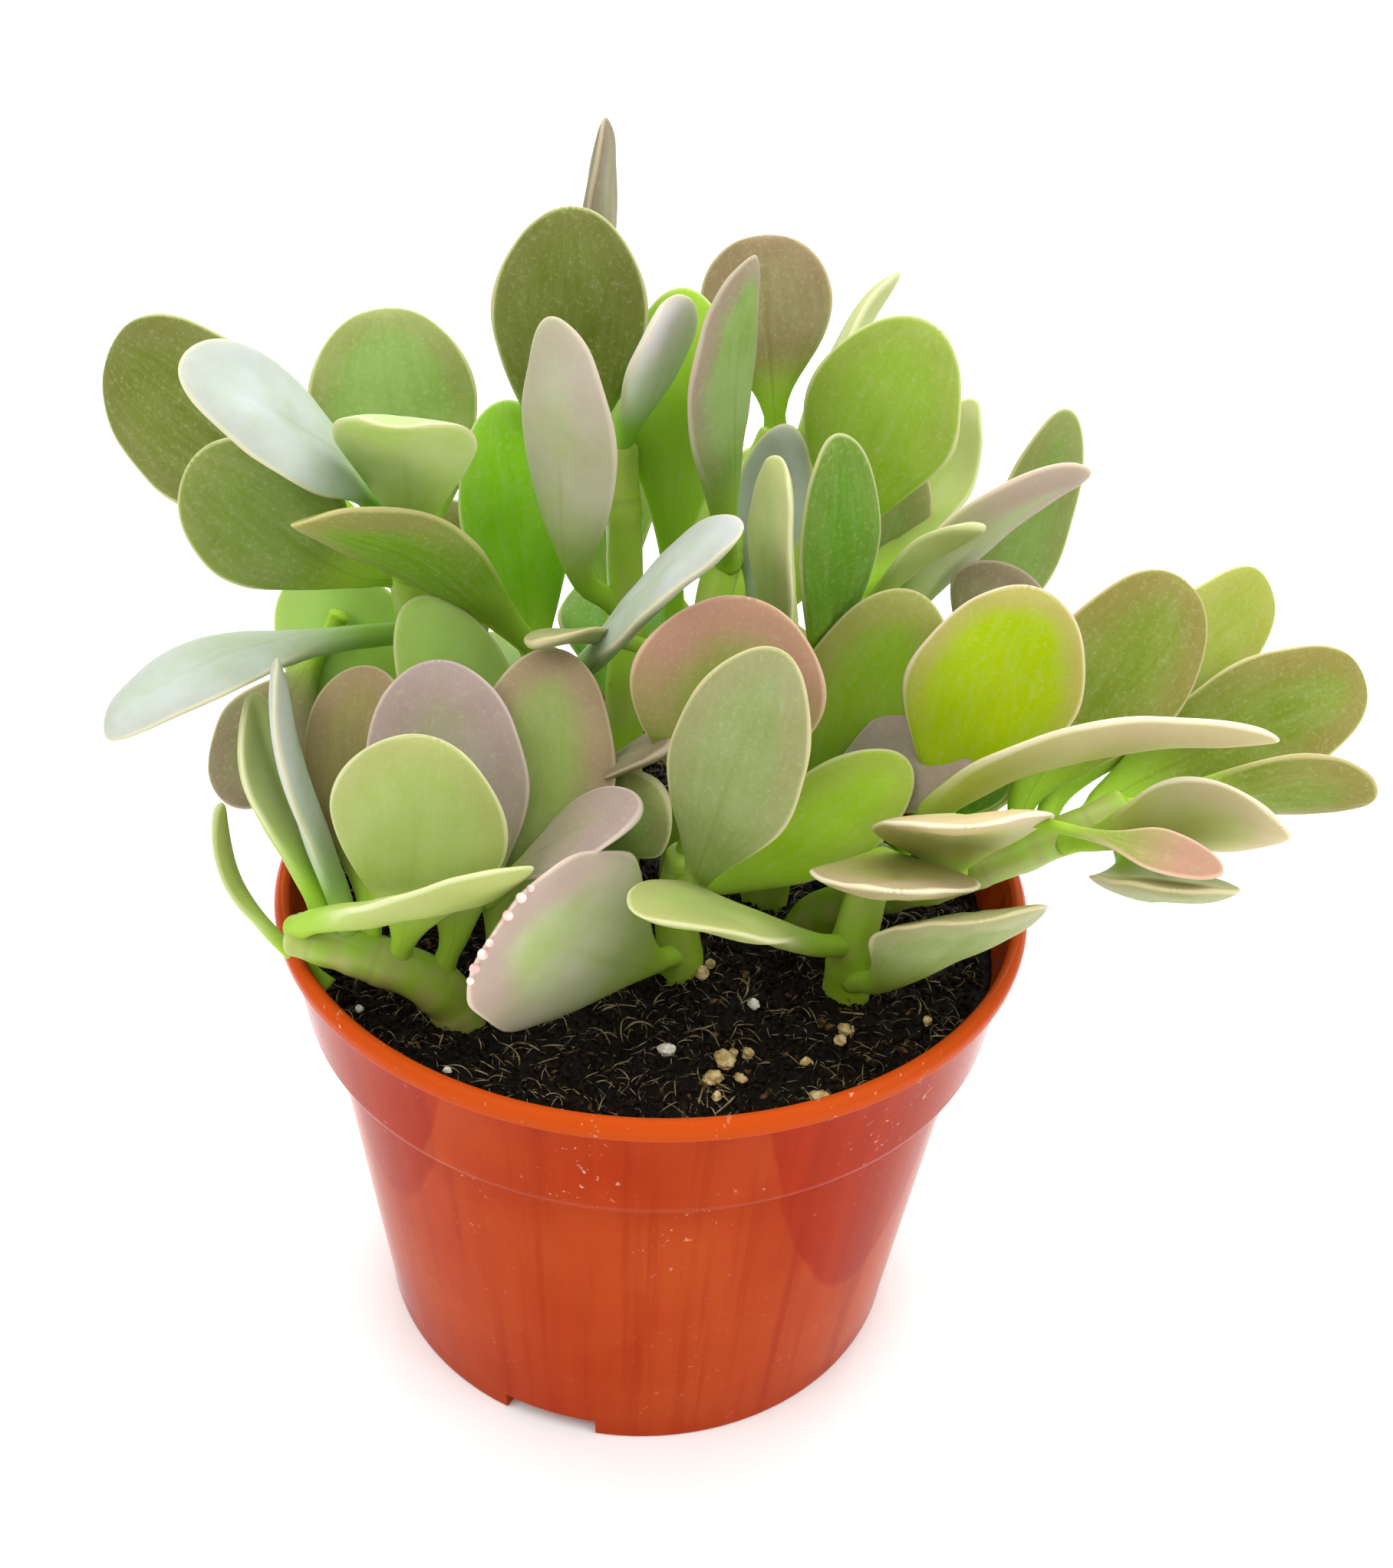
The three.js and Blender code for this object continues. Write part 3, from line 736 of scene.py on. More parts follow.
def leafLines(nodeName):
    # middle line, half width, thickness and curl of a leaf, station by station
    rings, ends = cageOf(nodeName, 8)
    widest = max(range(len(rings)), key=lambda k: np.linalg.norm(rings[k] - rings[k].mean(0), axis=1).max())
    ring = rings[widest]
    margin = max(range(4), key=lambda k: np.linalg.norm(ring[k] - ring[k + 4]))
    rings = np.roll(rings, -margin, axis=1)
    ring = rings[widest]
    lift = (ring[0] + ring[4]) / 2 - (ring[2] + ring[6]) / 2
    if lift @ (ring[2] - ring[6]) < 0:
        rings = rings[:, [0, 7, 6, 5, 4, 3, 2, 1]]
    centre = (rings[:, 2] + rings[:, 6]) / 2
    up = unit(rings[:, 2] - rings[:, 6])
    side = (rings[:, 0] - rings[:, 4]) / 2
    return {
        "centre": np.vstack([centre, ends[1:]]),
        "up": np.vstack([up, up[-1:]]),
        "side": np.vstack([unit(side), unit(side[-1:])]),
        "half": np.append(np.linalg.norm(side, axis=1), 0),
        "thick": np.append(np.linalg.norm(rings[:, 2] - rings[:, 6], axis=1) / 2, 0.0006),
        "curl": np.append((((rings[:, 0] + rings[:, 4]) / 2 - centre) * up).sum(1), 0),
    }


# ---- leaves ----
leaf = {
    "around": 36,
    "stations": 46,
    "rootLength": 2.6,  # how far the stalk carries on into its stem
    "rootFlare": 1.3,
    "ripple": 0.22,  # soft unevenness of the blade
    "midribDepth": 0.22,
    "midribWidth": 0.9,
    "tipFrom": 0.86,  # share of the length where the blade starts to thin to its tip
    "sway": 0.018,
    "marginTaper": 1.3,  # above 1 thins the blade towards its margin
}


def leafMesh(name, lines, material, seed):
    roller = np.random.default_rng(seed)
    centre = lines["centre"]
    steps = np.linalg.norm(np.diff(centre, axis=0), axis=1)
    at = np.insert(np.cumsum(steps), 0, 0)
    length = at[-1]
    u = np.linspace(0, 1, leaf["stations"])
    wanted = length * (1 - (1 - u)**1.5) * 0.9985
    middle = smoothThrough(at, centre, wanted)
    up = unit(smoothThrough(at, lines["up"], wanted))
    ahead = unit(np.gradient(middle, wanted, axis=0))
    up = unit(up - (up * ahead).sum(1)[:, None] * ahead)
    side = np.cross(up, ahead)
    side *= np.sign((side * smoothThrough(at, lines["side"], wanted)).sum(1))[:, None]
    half = np.sqrt(np.clip(smoothThrough(at, lines["half"]**2, wanted), 1e-9, None))
    calm = np.array((1, 2, 3, 2, 1)) / 9
    for _ in range(3):
        half[2:-2] = np.convolve(half, calm, "valid")
    # past its widest point the outline closes in one smooth curve to the tip
    widest = int(np.argmax(half))
    onward = np.clip((wanted - wanted[widest]) / (length - wanted[widest]), 0, 1)
    midway = np.interp(0.6, onward[widest:], half[widest:]) / half[widest]
    fullness = np.clip(math.log(max(1e-3, 1 - midway**2)) / math.log(0.6), 1.7, 2.6)
    half[widest:] = half[widest] * np.sqrt(1 - onward[widest:]**fullness) + 1e-5
    thick = np.clip(np.interp(wanted, at, lines["thick"]), 1e-5, None)
    curl = smoothThrough(at, lines["curl"], wanted)
    share = wanted / length
    ending = np.clip((share - leaf["tipFrom"]) / (1 - leaf["tipFrom"]), 0, 1)
    thick *= np.sqrt(np.clip(1 - ending**3, 0, 1)) * (1 - 0.1 * ease((share - 0.3) / 0.3))
    wobble = roller.uniform(0, 6.283, 4)
    angle = 2 * math.pi * np.arange(leaf["around"]) / leaf["around"]
    cosine, sine = np.cos(angle), np.sin(angle)
    full = half.max()
    points, edge, along, upper, across = [], [], [], [], []
    marginLine = np.array([[s, x] for s, h in zip(wanted, half) for x in (h, -h)] + [[length, 0]])
    for k in range(len(wanted)):
        blade = ease((half[k] / full - 0.3) / 0.4)
        x = cosine * half[k]
        y = np.sign(sine) * np.abs(sine)**(1 + (leaf["marginTaper"] - 1) * blade)
        crown = y * thick[k] + curl[k] * cosine**2
        rib = np.exp(-(x / (leaf["midribWidth"] * mm))**2) * blade * (1 - ease((share[k] - 0.75) / 0.2))
        crown -= rib * leaf["midribDepth"] * mm * np.where(sine > 0, 1, -0.8)
        s, w = wanted[k] / mm, x / mm
        ripple = (np.sin(s * 0.31 + w * 0.21 + wobble[0]) + np.sin(w * 0.42 - s * 0.17 + wobble[1])
                  + 0.5 * np.sin(s * 0.55 - w * 0.6 + wobble[2])) * blade * leaf["ripple"] * mm * 0.5
        crown += ripple
        x = x * (1 + leaf["sway"] * math.sin(s * 0.36 + wobble[3]) * blade)
        points.append(middle[k] + side[k] * x[:, None] + up[k] * crown[:, None])
        gap = np.hypot(marginLine[:, 0][:, None] - wanted[k], marginLine[:, 1][:, None] - x).min(0)
        gap = np.minimum(gap, half[k] - np.abs(cosine * half[k]))
        edge.append(gap / mm)
        along.append(np.full(len(x), share[k]))
        upper.append(sine)
        across.append(cosine)
    rootSteps = 4
    outward = unit(middle[0] - middle[1])
    for k in range(1, rootSteps + 1):
        grow = 1 + (leaf["rootFlare"] - 1) * (k / rootSteps)**1.5
        shift = outward * leaf["rootLength"] * mm * k / rootSteps
        points.insert(0, middle[0] + shift + (points[k - 1] - middle[0]) * grow)
        edge.insert(0, edge[0])
        along.insert(0, np.zeros(len(angle)))
        upper.insert(0, sine)
        across.insert(0, cosine)
    rings = len(points)
    spots = np.vstack(points + [middle[0] + outward * leaf["rootLength"] * mm * 1.05,
                                middle[-1] + ahead[-1] * length * 0.0015])
    faces = tubeFaces(rings, leaf["around"], rings * leaf["around"], rings * leaf["around"] + 1)
    piece = closedMesh(name, spots, faces, material)
    for label, values, first, last in (
            ("edge", edge, 2, 0), ("along", along, 0, 1), ("upper", upper, 0, 0), ("across", across, 0, 0)):
        addLayer(piece, label, values, first, last)
    return piece


def leafSkin(name, look):
    # A fleshy leaf under a thin waxy skin: satin rather than wet, light passes into the flesh,
    # the margin is a pale line, and sun draws a pink or brown blush towards the rim.
    material, tree, shader = newMaterial(name)
    where = ownPlace(tree)
    edge = attribute(tree, "edge")
    along = attribute(tree, "along")
    upper = attribute(tree, "upper")
    across = attribute(tree, "across")
    cloud = noise(tree, where, perMetre(13), 4, 0.6)
    fleck = noise(tree, where, perMetre(0.7), 3, 0.7)
    upperMask = ramp(tree, upper, -0.25, 0.25, smooth=True)
    flesh = blend(tree, upperMask, shade(look["under"]), shade(look["upper"]))
    # deeper colour drifts through the blade, some 13 mm across
    drift = ramp(tree, cloud, 0.35, 0.65, 0, look["drift"])
    drifted = blend(tree, drift, flesh, shade(look["deep"]))
    # lengthwise streaks, as of veins seen through the skin
    lengthwise = addNode(tree, "ShaderNodeCombineXYZ", {
        0: reckon(tree, "MULTIPLY", along, 1.4),
        1: reckon(tree, "MULTIPLY", across, 3.2)})
    shifted = addNode(tree, "ShaderNodeMapping", {"Vector": where, "Scale": (40, 40, 40)}).outputs[0]
    apart = addNode(tree, "ShaderNodeVectorMath", {
        0: lengthwise.outputs[0], 1: shifted}, operation="ADD").outputs[0]
    vein = noise(tree, apart, 2.6, 5, 0.62)
    veinMask = ramp(tree, vein, 0.42, 0.72, 0, look["veins"])
    streaked = blend(tree, veinMask, drifted, shade(look["speck"]))
    # the stalk's own tone fades into the blade
    stalkMask = ramp(tree, along, look["stalkTo"], 0.1, smooth=True)
    stalked = blend(tree, stalkMask, streaked, shade(look["stalk"]))
    # silver bloom, a powdery wax over the blade, thin near the stalk
    bloomWide = ramp(tree, cloud, 0.32, 0.68, look["bloom"] * 1.4, look["bloom"] * 0.5)
    bloomBlade = ramp(tree, along, 0.12, 0.5)
    bloom = reckon(tree, "MULTIPLY", bloomWide, bloomBlade)
    bloomed = blend(tree, bloom, stalked, shade(look["wax"]))
    # blush towards the rim, ragged on its inner side
    ragged = reckon(tree, "MULTIPLY", cloud, look["blushWidth"] * 0.9)
    nearRim = reckon(tree, "SUBTRACT", edge, ragged)
    blushRim = ramp(tree, nearRim, look["blushWidth"], -0.5, 0, look["blush"], smooth=True)
    blushTip = ramp(tree, along, look["blushFrom"], min(1, look["blushFrom"] + 0.35))
    blush = reckon(tree, "MULTIPLY", blushRim, blushTip)
    blushed = blend(tree, blush, bloomed, shade(look["blushTone"]))
    # fine specks under the skin and a faint midrib
    specks = ramp(tree, fleck, 0.53, 0.7, 0, look["specks"])
    specked = blend(tree, specks, blushed, shade(look["speck"]))
    sideways = reckon(tree, "ABSOLUTE", across)
    ribMask = ramp(tree, sideways, 0.09, 0.0, 0, look["midrib"], smooth=True)
    ribEnd = ramp(tree, along, 0.8, 0.45)
    rib = reckon(tree, "MULTIPLY", ribMask, ribEnd)
    ribbed = blend(tree, rib, specked, shade(look["deep"]))
    # the margin: under a millimetre of pale, dry-looking skin
    rimBlade = ramp(tree, along, 0.25, 0.5, 0, look["rim"])
    rimLine = ramp(tree, edge, 0.6, 0.1, smooth=True)
    rim = reckon(tree, "MULTIPLY", rimLine, rimBlade)
    rimmed = blend(tree, rim, ribbed, shade(look["rimTone"]))
    satin = ramp(tree, fleck, 0.3, 0.7, 0.38, 0.52)
    fill(tree, shader, {
        "Base Color": rimmed, "Roughness": satin, "IOR": 1.42, "Specular IOR Level": look["gloss"],
        "Subsurface Weight": 0.22, "Subsurface Radius": (0.6, 1.0, 0.12), "Subsurface Scale": 0.0035,
        "Normal": bump(tree, 0.12, 0.0002, fleck)})
    return material


plain = {
    "upper": "7f9a20", "under": "8aa82c", "deep": "648606", "stalk": "9cc238", "wax": "c3c8b0",
    "bloom": 0.14, "blush": 0.3, "blushWidth": 4, "blushFrom": 0.4, "blushTone": "a8806a",
    "speck": "c9cda0", "gloss": 0.07, "rim": 0.6, "rimTone": "dccfae",
    "drift": 0.55, "veins": 0.11, "specks": 0.18, "midrib": 0.3, "stalkTo": 0.42,
}
skins = {
    "oliveSkin": dict(plain, upper="68741c", under="6f7c24", deep="586610", blush=0.25,
                      blushTone="7d6a4c", wax="9aa070"),
    "oliveGreenSkin": dict(plain, upper="728c1c", under="748c1c", deep="5c7804", blush=0.15, bloom=0.1),
    "brownSkin": dict(plain, upper="82723a", under="868446", deep="706426", blush=0.45,
                      blushTone="8c6c5e", rimTone="cdb8a0"),
    "warmBrownSkin": dict(plain, upper="98863c", under="98923c", deep="8a7a28", blush=0.5,
                          blushTone="a88678", rimTone="d2bca6"),
    "brightSkin": dict(plain, upper="5c9000", under="7fa81c", deep="4c7c00", bloom=0.04, blush=0.12),
    "sunlitSkin": dict(plain, upper="80be00", under="8cc20c", deep="72ac00", bloom=0.03, blush=0.1),
    # painted backlight: a brighter green for a leaf in the shade of others, standing in for light through it
    # from behind
    "paintedBacklitSkin": dict(plain, upper="9ccc14", under="a4d020", deep="90c008", bloom=0.06, blush=0.1),
    "limeSkin": dict(plain, upper="8cae0c", under="93b41c", deep="7c9f00", bloom=0.08, blush=0.2),
    # painted light: a lighter copy of the lime green for a leaf in shade
    "paintedLitLimeSkin": dict(plain, upper="a4cc14", under="a8ce24", deep="90bc00", bloom=0.06, blush=0.25),
    "goldLimeSkin": dict(plain, upper="98a61c", under="9aa420", deep="8c9c08", bloom=0.1, blush=0.3,
                         blushTone="b09a60"),
    # painted backlight: the vivid yellow-green stands in for light through the leaf from behind
    "vividPaintedBacklitSkin": dict(plain, upper="aec800", under="b0cc10", deep="a0bc00", bloom=0.0, blush=0.7,
                      blushWidth=3.2, blushTone="b9a070", rim=0.8, rimTone="e6cfc0"),
    "meadowSkin": dict(plain, upper="809e38", under="86a43c", deep="6c9024", bloom=0.16, wax="b0c49c"),
    # painted light: a lighter copy of the meadow green above for leaves in shade
    "paintedLitMeadowSkin": dict(plain, upper="a8d454", under="acd65c", deep="98c63c", bloom=0.14, blush=0.15),
    "silverSkin": dict(plain, upper="a4b288", under="93ae44", deep="90a66c", bloom=0.55, stalk="8fb850",
                       blush=0.25, blushTone="b4a0b0", wax="c6ced2"),
    # painted light: a much lighter copy of the silver skin for a leaf in shade
    "paintedLitSilverSkin": dict(plain, upper="cfe0ac", under="c4dc88", deep="b4d084", bloom=0.4, stalk="98cc48",
                      blush=0.85, blushWidth=9, blushFrom=0.5, blushTone="ddd0dc", wax="e8e8ee"),
    "greenRoseSkin": dict(plain, upper="7a9834", under="80a03c", deep="6a8c20", bloom=0.16, blush=0.8,
                          blushWidth=3, blushFrom=0.3, blushTone="a0847c", rimTone="cdbcae"),
    # painted light: the underside tone is lighter to offset the shade on that side
    "silverTopSkin": dict(plain, upper="a8d070", under="bccc00", deep="98c448", bloom=0.3,
                          wax="dbe8da", blush=0.1),
    "mauveSkin": dict(plain, upper="948c68", under="8fa04c", deep="84903c", bloom=0.35,
                      wax="c4b4b4", blush=0.5, blushWidth=6, blushTone="a88890", rimTone="dccac0"),
    # painted light: a lighter copy of the mauve skin above for a leaf in shade
    "paintedLitMauveSkin": dict(plain, upper="a8a680", under="a4b064", deep="9cac58", bloom=0.45,
                          wax="d4c8c8", blush=0.45, blushWidth=5, blushTone="b89c9c", rimTone="dccac0"),
    "pinkRimSkin": dict(plain, upper="96a650", under="93a650", deep="82a038", bloom=0.1, blush=0.75,
                        blushWidth=5, blushFrom=0.35, blushTone="b08c7c", rimTone="e0c8b4"),
    "greyRoseSkin": dict(plain, upper="b0c468", under="b0c468", deep="9cb850", bloom=0.35,
                         wax="d4cccc", blush=0.75, blushWidth=6, blushTone="c09ca0", rimTone="ecd4c8"),
    "roseRimSkin": dict(plain, upper="8c9a34", under="84a048", deep="7c8e20", bloom=0.08, blush=0.9,
                        blushWidth=7, blushFrom=0.45, blushTone="b88878", rimTone="e8bfae"),
    "paleSkin": dict(plain, upper="a4b654", under="b4c664", deep="90aa3c", bloom=0.16,
                     blushTone="b59c78", rimTone="dedcb4"),
    # painted light: a lighter copy of the pale skin above for leaves edge-on or in shade
    "paintedLitPaleSkin": dict(plain, upper="bccc74", under="b8cc70", deep="a4bc4c", bloom=0.2,
                           blushTone="c0a888", rimTone="e4e2c0"),
    "paleLimeSkin": dict(plain, upper="bacf6c", under="aec258", deep="a4be50", bloom=0.14,
                         blushTone="b59c78", rimTone="e2e2bc"),
    "oliveRoseSkin": dict(plain, upper="788810", under="788c10", deep="667c00", bloom=0.06, blush=0.45,
                          blushWidth=5, blushTone="9a7450", rimTone="d9c4a0"),
    "leafyRoseSkin": dict(plain, upper="749e00", under="729c00", deep="648e00", bloom=0.04, blush=0.55,
                          blushWidth=4, blushTone="a08060", rimTone="d0c08c"),
    "limeRoseSkin": dict(plain, upper="90b808", under="8cb008", deep="80a800", bloom=0.05, blush=0.5,
                         blushWidth=5, blushTone="b08c70", rimTone="e0ccac"),
    "creamRimSkin": dict(plain, upper="a49a4c", under="93a010", deep="94983c", bloom=0.14, blush=0.5,
                         blushWidth=5, blushTone="b3928a", rim=0.85, rimTone="ecdfc4"),
    "sunnyCreamSkin": dict(plain, upper="c4bc68", under="a8b414", deep="b4b448", bloom=0.25,
                           wax="e0dac4", blush=0.5, blushWidth=5, blushTone="cca49c", rim=0.85,
                           rimTone="f4e8d0"),
    "greyGreenSkin": dict(plain, upper="869644", under="8a9e4c", deep="728a30", bloom=0.24,
                          wax="b0b49c", blush=0.3, blushTone="ac8c78", rimTone="dccaa6"),
    "duskSkin": dict(plain, upper="8a8450", under="747c34", deep="6c6c3c", bloom=0.22, wax="a39a92",
                     blush=0.4, blushTone="806460", rimTone="c2b29c"),
}
skinFor = {
    "front_left": ["paintedLitPaleSkin", "silverSkin", "warmBrownSkin", "mauveSkin", "pinkRimSkin",
                   "paleSkin", "paleLimeSkin"],
    "back_left": ["oliveSkin", "oliveGreenSkin", "silverSkin", "meadowSkin", "silverTopSkin",
                  "paintedLitMeadowSkin", "silverSkin"],
    "inner": ["leafyRoseSkin", "sunlitSkin", "silverSkin", "paintedLitMeadowSkin"],
    "middle": ["paintedLitMauveSkin", "paintedLitSilverSkin", "oliveSkin", "duskSkin"],
    "centre_tall": ["paintedBacklitSkin", "greenRoseSkin", "brownSkin", "paintedLitPaleSkin"],
    "centre_right": ["limeSkin", "brightSkin", "paintedLitPaleSkin", "paintedLitPaleSkin", "greyRoseSkin",
                     "limeRoseSkin", "meadowSkin"],
    "right": ["vividPaintedBacklitSkin", "oliveRoseSkin", "goldLimeSkin", "oliveRoseSkin", "sunnyCreamSkin",
              "oliveRoseSkin", "sunnyCreamSkin", "sunnyCreamSkin", "greyGreenSkin"],
    "front_right": ["creamRimSkin", "paleSkin", "greyGreenSkin"],
    "centre": ["roseRimSkin", "greyGreenSkin", "paintedLitLimeSkin", "greyRoseSkin"],
}
skinMade = {}


def skin(name):
    if name not in skinMade:
        skinMade[name] = leafSkin(name, skins[name])
    return skinMade[name]


leafPieces = {}
for placeName, wantedSkins in skinFor.items():
    for k, skinName in enumerate(wantedSkins):
        nodeName = f"leaf_{placeName}_{k + 1}"
        piece = leafMesh("jade_" + nodeName, leafLines(nodeName), skin(skinName), 100 + len(leafPieces))
        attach(piece, "root")
        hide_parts(nodeName)
        leafPieces[nodeName] = piece
print("leaves built:", len(leafPieces))

# small and half-hidden leaves that only the looks have: root, tip, width, bearing and rise of the
# face (0 is the front, 90 the right), arch, stalk share, skin
smallLeaves = {
    "hanging": ((-50, 6, 118), (-67, -2, 91), 17, (-20, 20), -2, 0.2, "duskSkin"),
    "inner_level": ((-2, -2, 122), (-17.5, -19, 130.5), 9, (-120, 70), 2, 0.2, "greyGreenSkin"),
    "behind_right": ((30, 22, 116), (36.5, 26, 141), 11, (10, 10), 1, 0.25, "greyGreenSkin"),
    "behind_middle": ((12, 15, 112), (16.5, 17, 150), 12, (-10, 10), 1, 0.3, "silverSkin"),
    "right_rising": ((28, 4, 126), (44, -1, 143.5), 9, (-150, 35), 2, 0.15, "paleSkin"),
    "right_arc": ((42, 3, 118), (53, 6, 133), 18, (0, 25), 1, 0.2, "duskSkin"),
    "right_low": ((20, -9, 100), (46, -12, 117), 16, (-20, 30), 2, 0.15, "mauveSkin"),
    "right_low_green": ((42, -8, 96), (50, -7, 112), 10, (0, 20), 1, 0.2, "brightSkin"),
    "centre_dusk": ((-10, -8, 100), (2, -23, 118), 10, (-100, 50), 2, 0.15, "duskSkin"),
    "centre_green": ((-10, -10, 90), (1, -20, 110), 15, (-15, 20), 1, 0.2, "meadowSkin"),
    "far_left": ((-48, -28, 79), (-63.5, -14, 99), 8, (-80, -10), 5, 0.2, "paleLimeSkin"),
    "front_brown": ((-22, -26, 94), (-1, -33, 114.5), 13, (-60, 60), 2, 0.15, "mauveSkin"),
    "right_bud": ((50, -34, 116.5), (73, -45, 117.5), 6.5, (-20, 60), 1, 0.45, "roseRimSkin"),
    "back_one": ((-7, 12, 110), (-18, 46, 148), 24, (180, 20), 4, 0.2, "meadowSkin"),
    "back_two": ((8, 14, 104), (19, 50, 134), 25, (170, 25), 4, 0.2, "limeSkin"),
    "back_three": ((-30, 6, 102), (-41, 42, 122), 25, (190, 25), 4, 0.2, "oliveSkin"),
    "back_four": ((23, 10, 96), (42, 45, 116), 23, (160, 30), 4, 0.2, "limeSkin"),
    "back_five": ((-6, 11, 94), (-8, 50, 108), 24, (180, 45), 4, 0.2, "brightSkin"),
    "back_six": ((-15, 6, 86), (-33, 44, 98), 23, (200, 45), 4, 0.2, "meadowSkin"),
    "back_seven": ((8, 14, 92), (17, 50, 101), 23, (170, 50), 4, 0.2, "oliveRoseSkin"),
    "back_eight": ((42, -7, 86), (61, 27, 104), 22, (150, 40), 4, 0.2, "oliveRoseSkin"),
    "back_nine": ((-29, 3, 91), (-57, 30, 104), 23, (215, 40), 4, 0.2, "oliveGreenSkin"),
    "back_ten": ((24, 8, 88), (38, 40, 92), 20, (160, 55), 3, 0.2, "brightSkin"),
}


def bearing(turn, climb):
    turn, climb = math.radians(turn), math.radians(climb)
    return np.array((math.sin(turn) * math.cos(climb), -math.cos(turn) * math.cos(climb), math.sin(climb)))


def looseLines(root, tip, wide, faces, arch, stalk):
    # the lines that leafLines gives, worked out from a few sizes
    start, end = np.array(place(*root)), np.array(place(*tip))
    span = np.linalg.norm(end - start)
    straight = (end - start) / span
    face = bearing(*faces)
    face = unit(face - (face @ straight) * straight)
    knots = [start, start + straight * span * 0.25 + face * arch * mm * 0.5,
             start + straight * span * 0.62 + face * arch * mm * 1.4, end]
    t = np.array([0, 0.12, 0.26, 0.4, 0.54, 0.68, 0.8, 0.9, 0.97, 1])[:, None]
    centre = ((1 - t)**3 * knots[0] + 3 * t * (1 - t)**2 * knots[1] + 3 * t * t * (1 - t) * knots[2]
              + t**3 * knots[3])
    t = t[:, 0]
    full, narrow, widest = wide / 2 * mm, (0.5 + 0.04 * wide) * mm, 0.66
    half = np.where(t <= widest, narrow + (full - narrow) * ease((t - stalk) / (widest - stalk) / 1.08),
                    full * np.sqrt(np.clip(1 - ((t - widest) / (1 - widest))**2, 0, 1)))
    up = unit(face - np.outer((unit(np.gradient(centre, axis=0)) @ face), np.ones(3)) * unit(
        np.gradient(centre, axis=0)))
    ahead = unit(np.gradient(centre, axis=0))
    return {"centre": centre, "up": up, "side": unit(np.cross(up, ahead)), "half": half,
            "thick": (0.6 + 0.06 * wide + 0.1 * t) * mm, "curl": 0.8 * mm * half / full}


for k, (label, (root, tip, wide, faces, arch, stalk, skinName)) in enumerate(smallLeaves.items()):
    piece = leafMesh("jade_small_" + label, looseLines(root, tip, wide, faces, arch, stalk),
                     skin(skinName), 300 + k)
    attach(piece, "root")

# a row of pale pink bumps along the far margin of the big front leaf
bumps = {
    "leaf": "leaf_centre_4",
    "count": 7,
    "first": -38,  # degrees round from its tip
    "last": 36,
    "size": 1.35,
}
bumpy = leafPieces[bumps["leaf"]].data
shareOf = np.array([d.value for d in bumpy.attributes["along"].data])
acrossOf = np.array([d.value for d in bumpy.attributes["across"].data])
spotOf = np.array([v.co[:] for v in bumpy.vertices])
blade = shareOf > 0.35
bladeMiddle = spotOf[blade].mean(0)
toTip = unit(spotOf[-1] - bladeMiddle)
toSide = spotOf[blade & (acrossOf > 0.98)].mean(0) - spotOf[blade & (acrossOf < -0.98)].mean(0)
toSide = unit(toSide) * np.sign(toSide[2])
rimSpots = spotOf[blade & (np.abs(acrossOf) > 0.99)]
rimTurn = np.degrees(np.arctan2((rimSpots - bladeMiddle) @ toSide, (rimSpots - bladeMiddle) @ toTip))
dots = bmesh.new()
for k in range(bumps["count"]):
    wanted = bumps["first"] + (bumps["last"] - bumps["first"]) * k / (bumps["count"] - 1)
    nearest = rimSpots[np.argmin(np.abs(rimTurn - wanted))]
    dot = bumps["size"] * mm * (0.8 + 0.35 * math.sin(k * 2.1)**2)
    inward = unit(bladeMiddle - nearest) * 0.5 * mm + np.array((0, -0.7, 0.2)) * mm
    bmesh.ops.create_icosphere(dots, subdivisions=2, radius=dot / 2,
                               matrix=Matrix.Translation(Vector(nearest + inward)))
corkyBump = earthyMaterial("corkyBump", "f6e6df", "dba39b", 2.5, 0.5)
bumpPiece = meshPiece("jade_margin_bumps", dots, corkyBump)
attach(bumpPiece, "root")
print("small leaves and bumps built")

# ---- stems ----
stem = {
    "around": 28,
    "every": 0.8,  # length between rings
    "nodeSwell": 0.22,
    "scarWidth": 0.9,
    "scarDepth": 0.07,
    "scarTone": "8a7448",
}


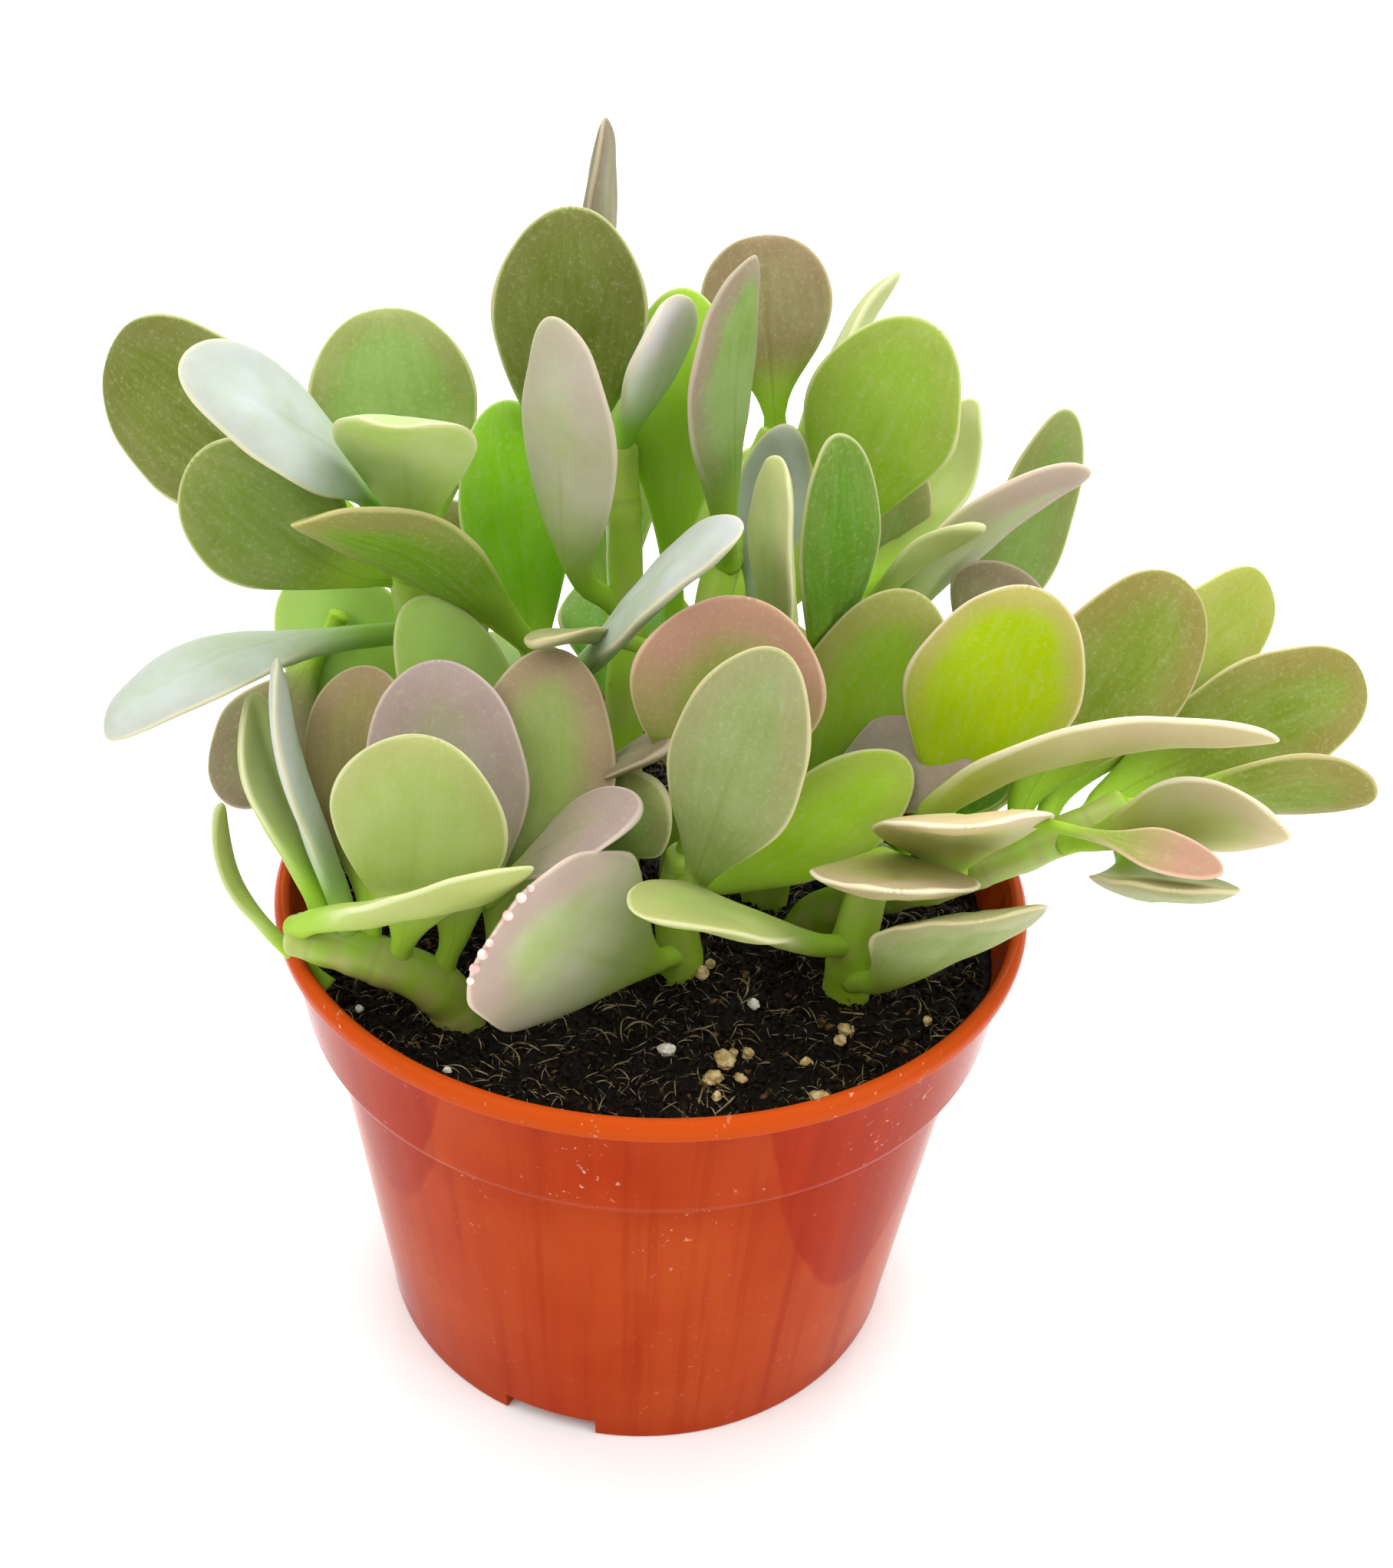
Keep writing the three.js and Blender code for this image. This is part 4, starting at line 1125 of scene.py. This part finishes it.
def stemMesh(name, nodeName, material, carried):
    rings, ends = cageOf(nodeName, 10)
    centre = np.vstack([rings.mean(1), ends[1:]])
    away = rings[:-1] - rings[:-1].mean(1)[:, None]
    radius = np.linalg.norm(away, axis=2).mean(1)
    steps = np.linalg.norm(np.diff(centre, axis=0), axis=1)
    at = np.insert(np.cumsum(steps), 0, 0)
    length, straight = at[-1], at[-3]
    count = int(straight / mm / stem["every"])
    wanted = np.append(np.linspace(0, straight, count), straight + (length - straight) * np.array(
        [0.2, 0.4, 0.6, 0.76, 0.88, 0.96]))
    middle = smoothThrough(at, centre, wanted)
    ahead = unit(np.gradient(middle, wanted, axis=0))
    size = np.interp(wanted, at[:-2], radius)
    past = np.clip((wanted - straight) / (length - straight), 0, 1)
    size = size * np.sqrt(np.clip(1 - past**2, 0.03, 1))
    first = np.zeros(3)
    first[np.argmin(np.abs(ahead[0]))] = 1
    normal = unit(first - (first @ ahead[0]) * ahead[0])
    points, along, scar = [], [], []
    swells = [length * np.clip(s, 0.02, 0.98) for s in carried]
    for k in range(len(wanted)):
        normal = unit(normal - (normal @ ahead[k]) * ahead[k])
        other = np.cross(ahead[k], normal)
        angle = 2 * math.pi * np.arange(stem["around"]) / stem["around"]
        swell = sum(math.exp(-((wanted[k] - s) / (1.6 * mm))**2) for s in swells)
        ring = sum(math.exp(-((wanted[k] - s - 1.4 * mm) / (stem["scarWidth"] * mm / 2))**2) for s in swells)
        r = size[k] + stem["nodeSwell"] * mm * min(1, swell) * (1 - past[k])
        r -= stem["scarDepth"] * mm * min(1, ring)
        s = wanted[k] / mm
        uneven = 1 + 0.03 * np.sin(angle * 3 + s * 0.25) + 0.02 * np.sin(angle * 5 - s * 0.6)
        points.append(middle[k] + (np.cos(angle)[:, None] * normal + np.sin(angle)[:, None] * other)
                      * (r * uneven)[:, None])
        along.append(np.full(len(angle), wanted[k] / length))
        scar.append(np.full(len(angle), min(1, ring)))
    rings = len(points)
    spots = np.vstack(points + [middle[0], ends[1]])
    faces = tubeFaces(rings, stem["around"], rings * stem["around"], rings * stem["around"] + 1)
    piece = closedMesh(name, spots, faces, material)
    for label, values in (("along", along), ("scar", scar)):
        addLayer(piece, label, values, 0, 1)
    return piece


def stemSkin(name, low, high, flush, flushShare):
    # Young succulent stem: smooth juicy skin, brighter to its tip, with a ring scar at each leaf.
    material, tree, shader = newMaterial(name)
    where = ownPlace(tree)
    along = attribute(tree, "along")
    scar = attribute(tree, "scar")
    cloud = noise(tree, where, perMetre(5), 3)
    rising = ramp(tree, along, 0.2, 0.75)
    green = blend(tree, rising, shade(low), shade(high))
    flushMask = ramp(tree, cloud, 0.4, 0.62, 0, flushShare)
    flushed = blend(tree, flushMask, green, shade(flush))
    scarMask = ramp(tree, scar, 0.3, 1, 0, 0.3)
    scarred = blend(tree, scarMask, flushed, shade(stem["scarTone"]))
    fill(tree, shader, {
        "Base Color": scarred, "Roughness": 0.42, "Subsurface Weight": 0.2,
        "Subsurface Radius": (0.6, 1.0, 0.15), "Subsurface Scale": 0.003,
        "Normal": bump(tree, 0.25, 0.0003, cloud)})
    return material


greenStem = stemSkin("greenStemSkin", "8cb01c", "a8cc40", "b9a878", 0.3)
flushedStem = stemSkin("flushedStemSkin", "7c9c14", "96b834", "c2a080", 0.35)
for nodeName in [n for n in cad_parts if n.startswith("stem_")]:
    placeName = nodeName[5:]
    rings, ends = cageOf(nodeName, 10)
    spine = rings.mean(1)
    run = np.insert(np.cumsum(np.linalg.norm(np.diff(spine, axis=0), axis=1)), 0, 0)
    carried = []
    for leafName in [n for n in leafPieces if n.startswith(f"leaf_{placeName}_")]:
        root = np.array(leafPieces[leafName].data.vertices[0].co[:])
        carried.append(run[np.argmin(np.linalg.norm(spine - root, axis=1))] / run[-1])
    look = flushedStem if placeName in ("right", "front_left") else greenStem
    piece = stemMesh("jade_" + nodeName, nodeName, look, sorted(carried))
    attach(piece, "root")
    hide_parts(nodeName)
print("stems built")

size = {"cad": cadBox, "visual": [list(corner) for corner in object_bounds()]}
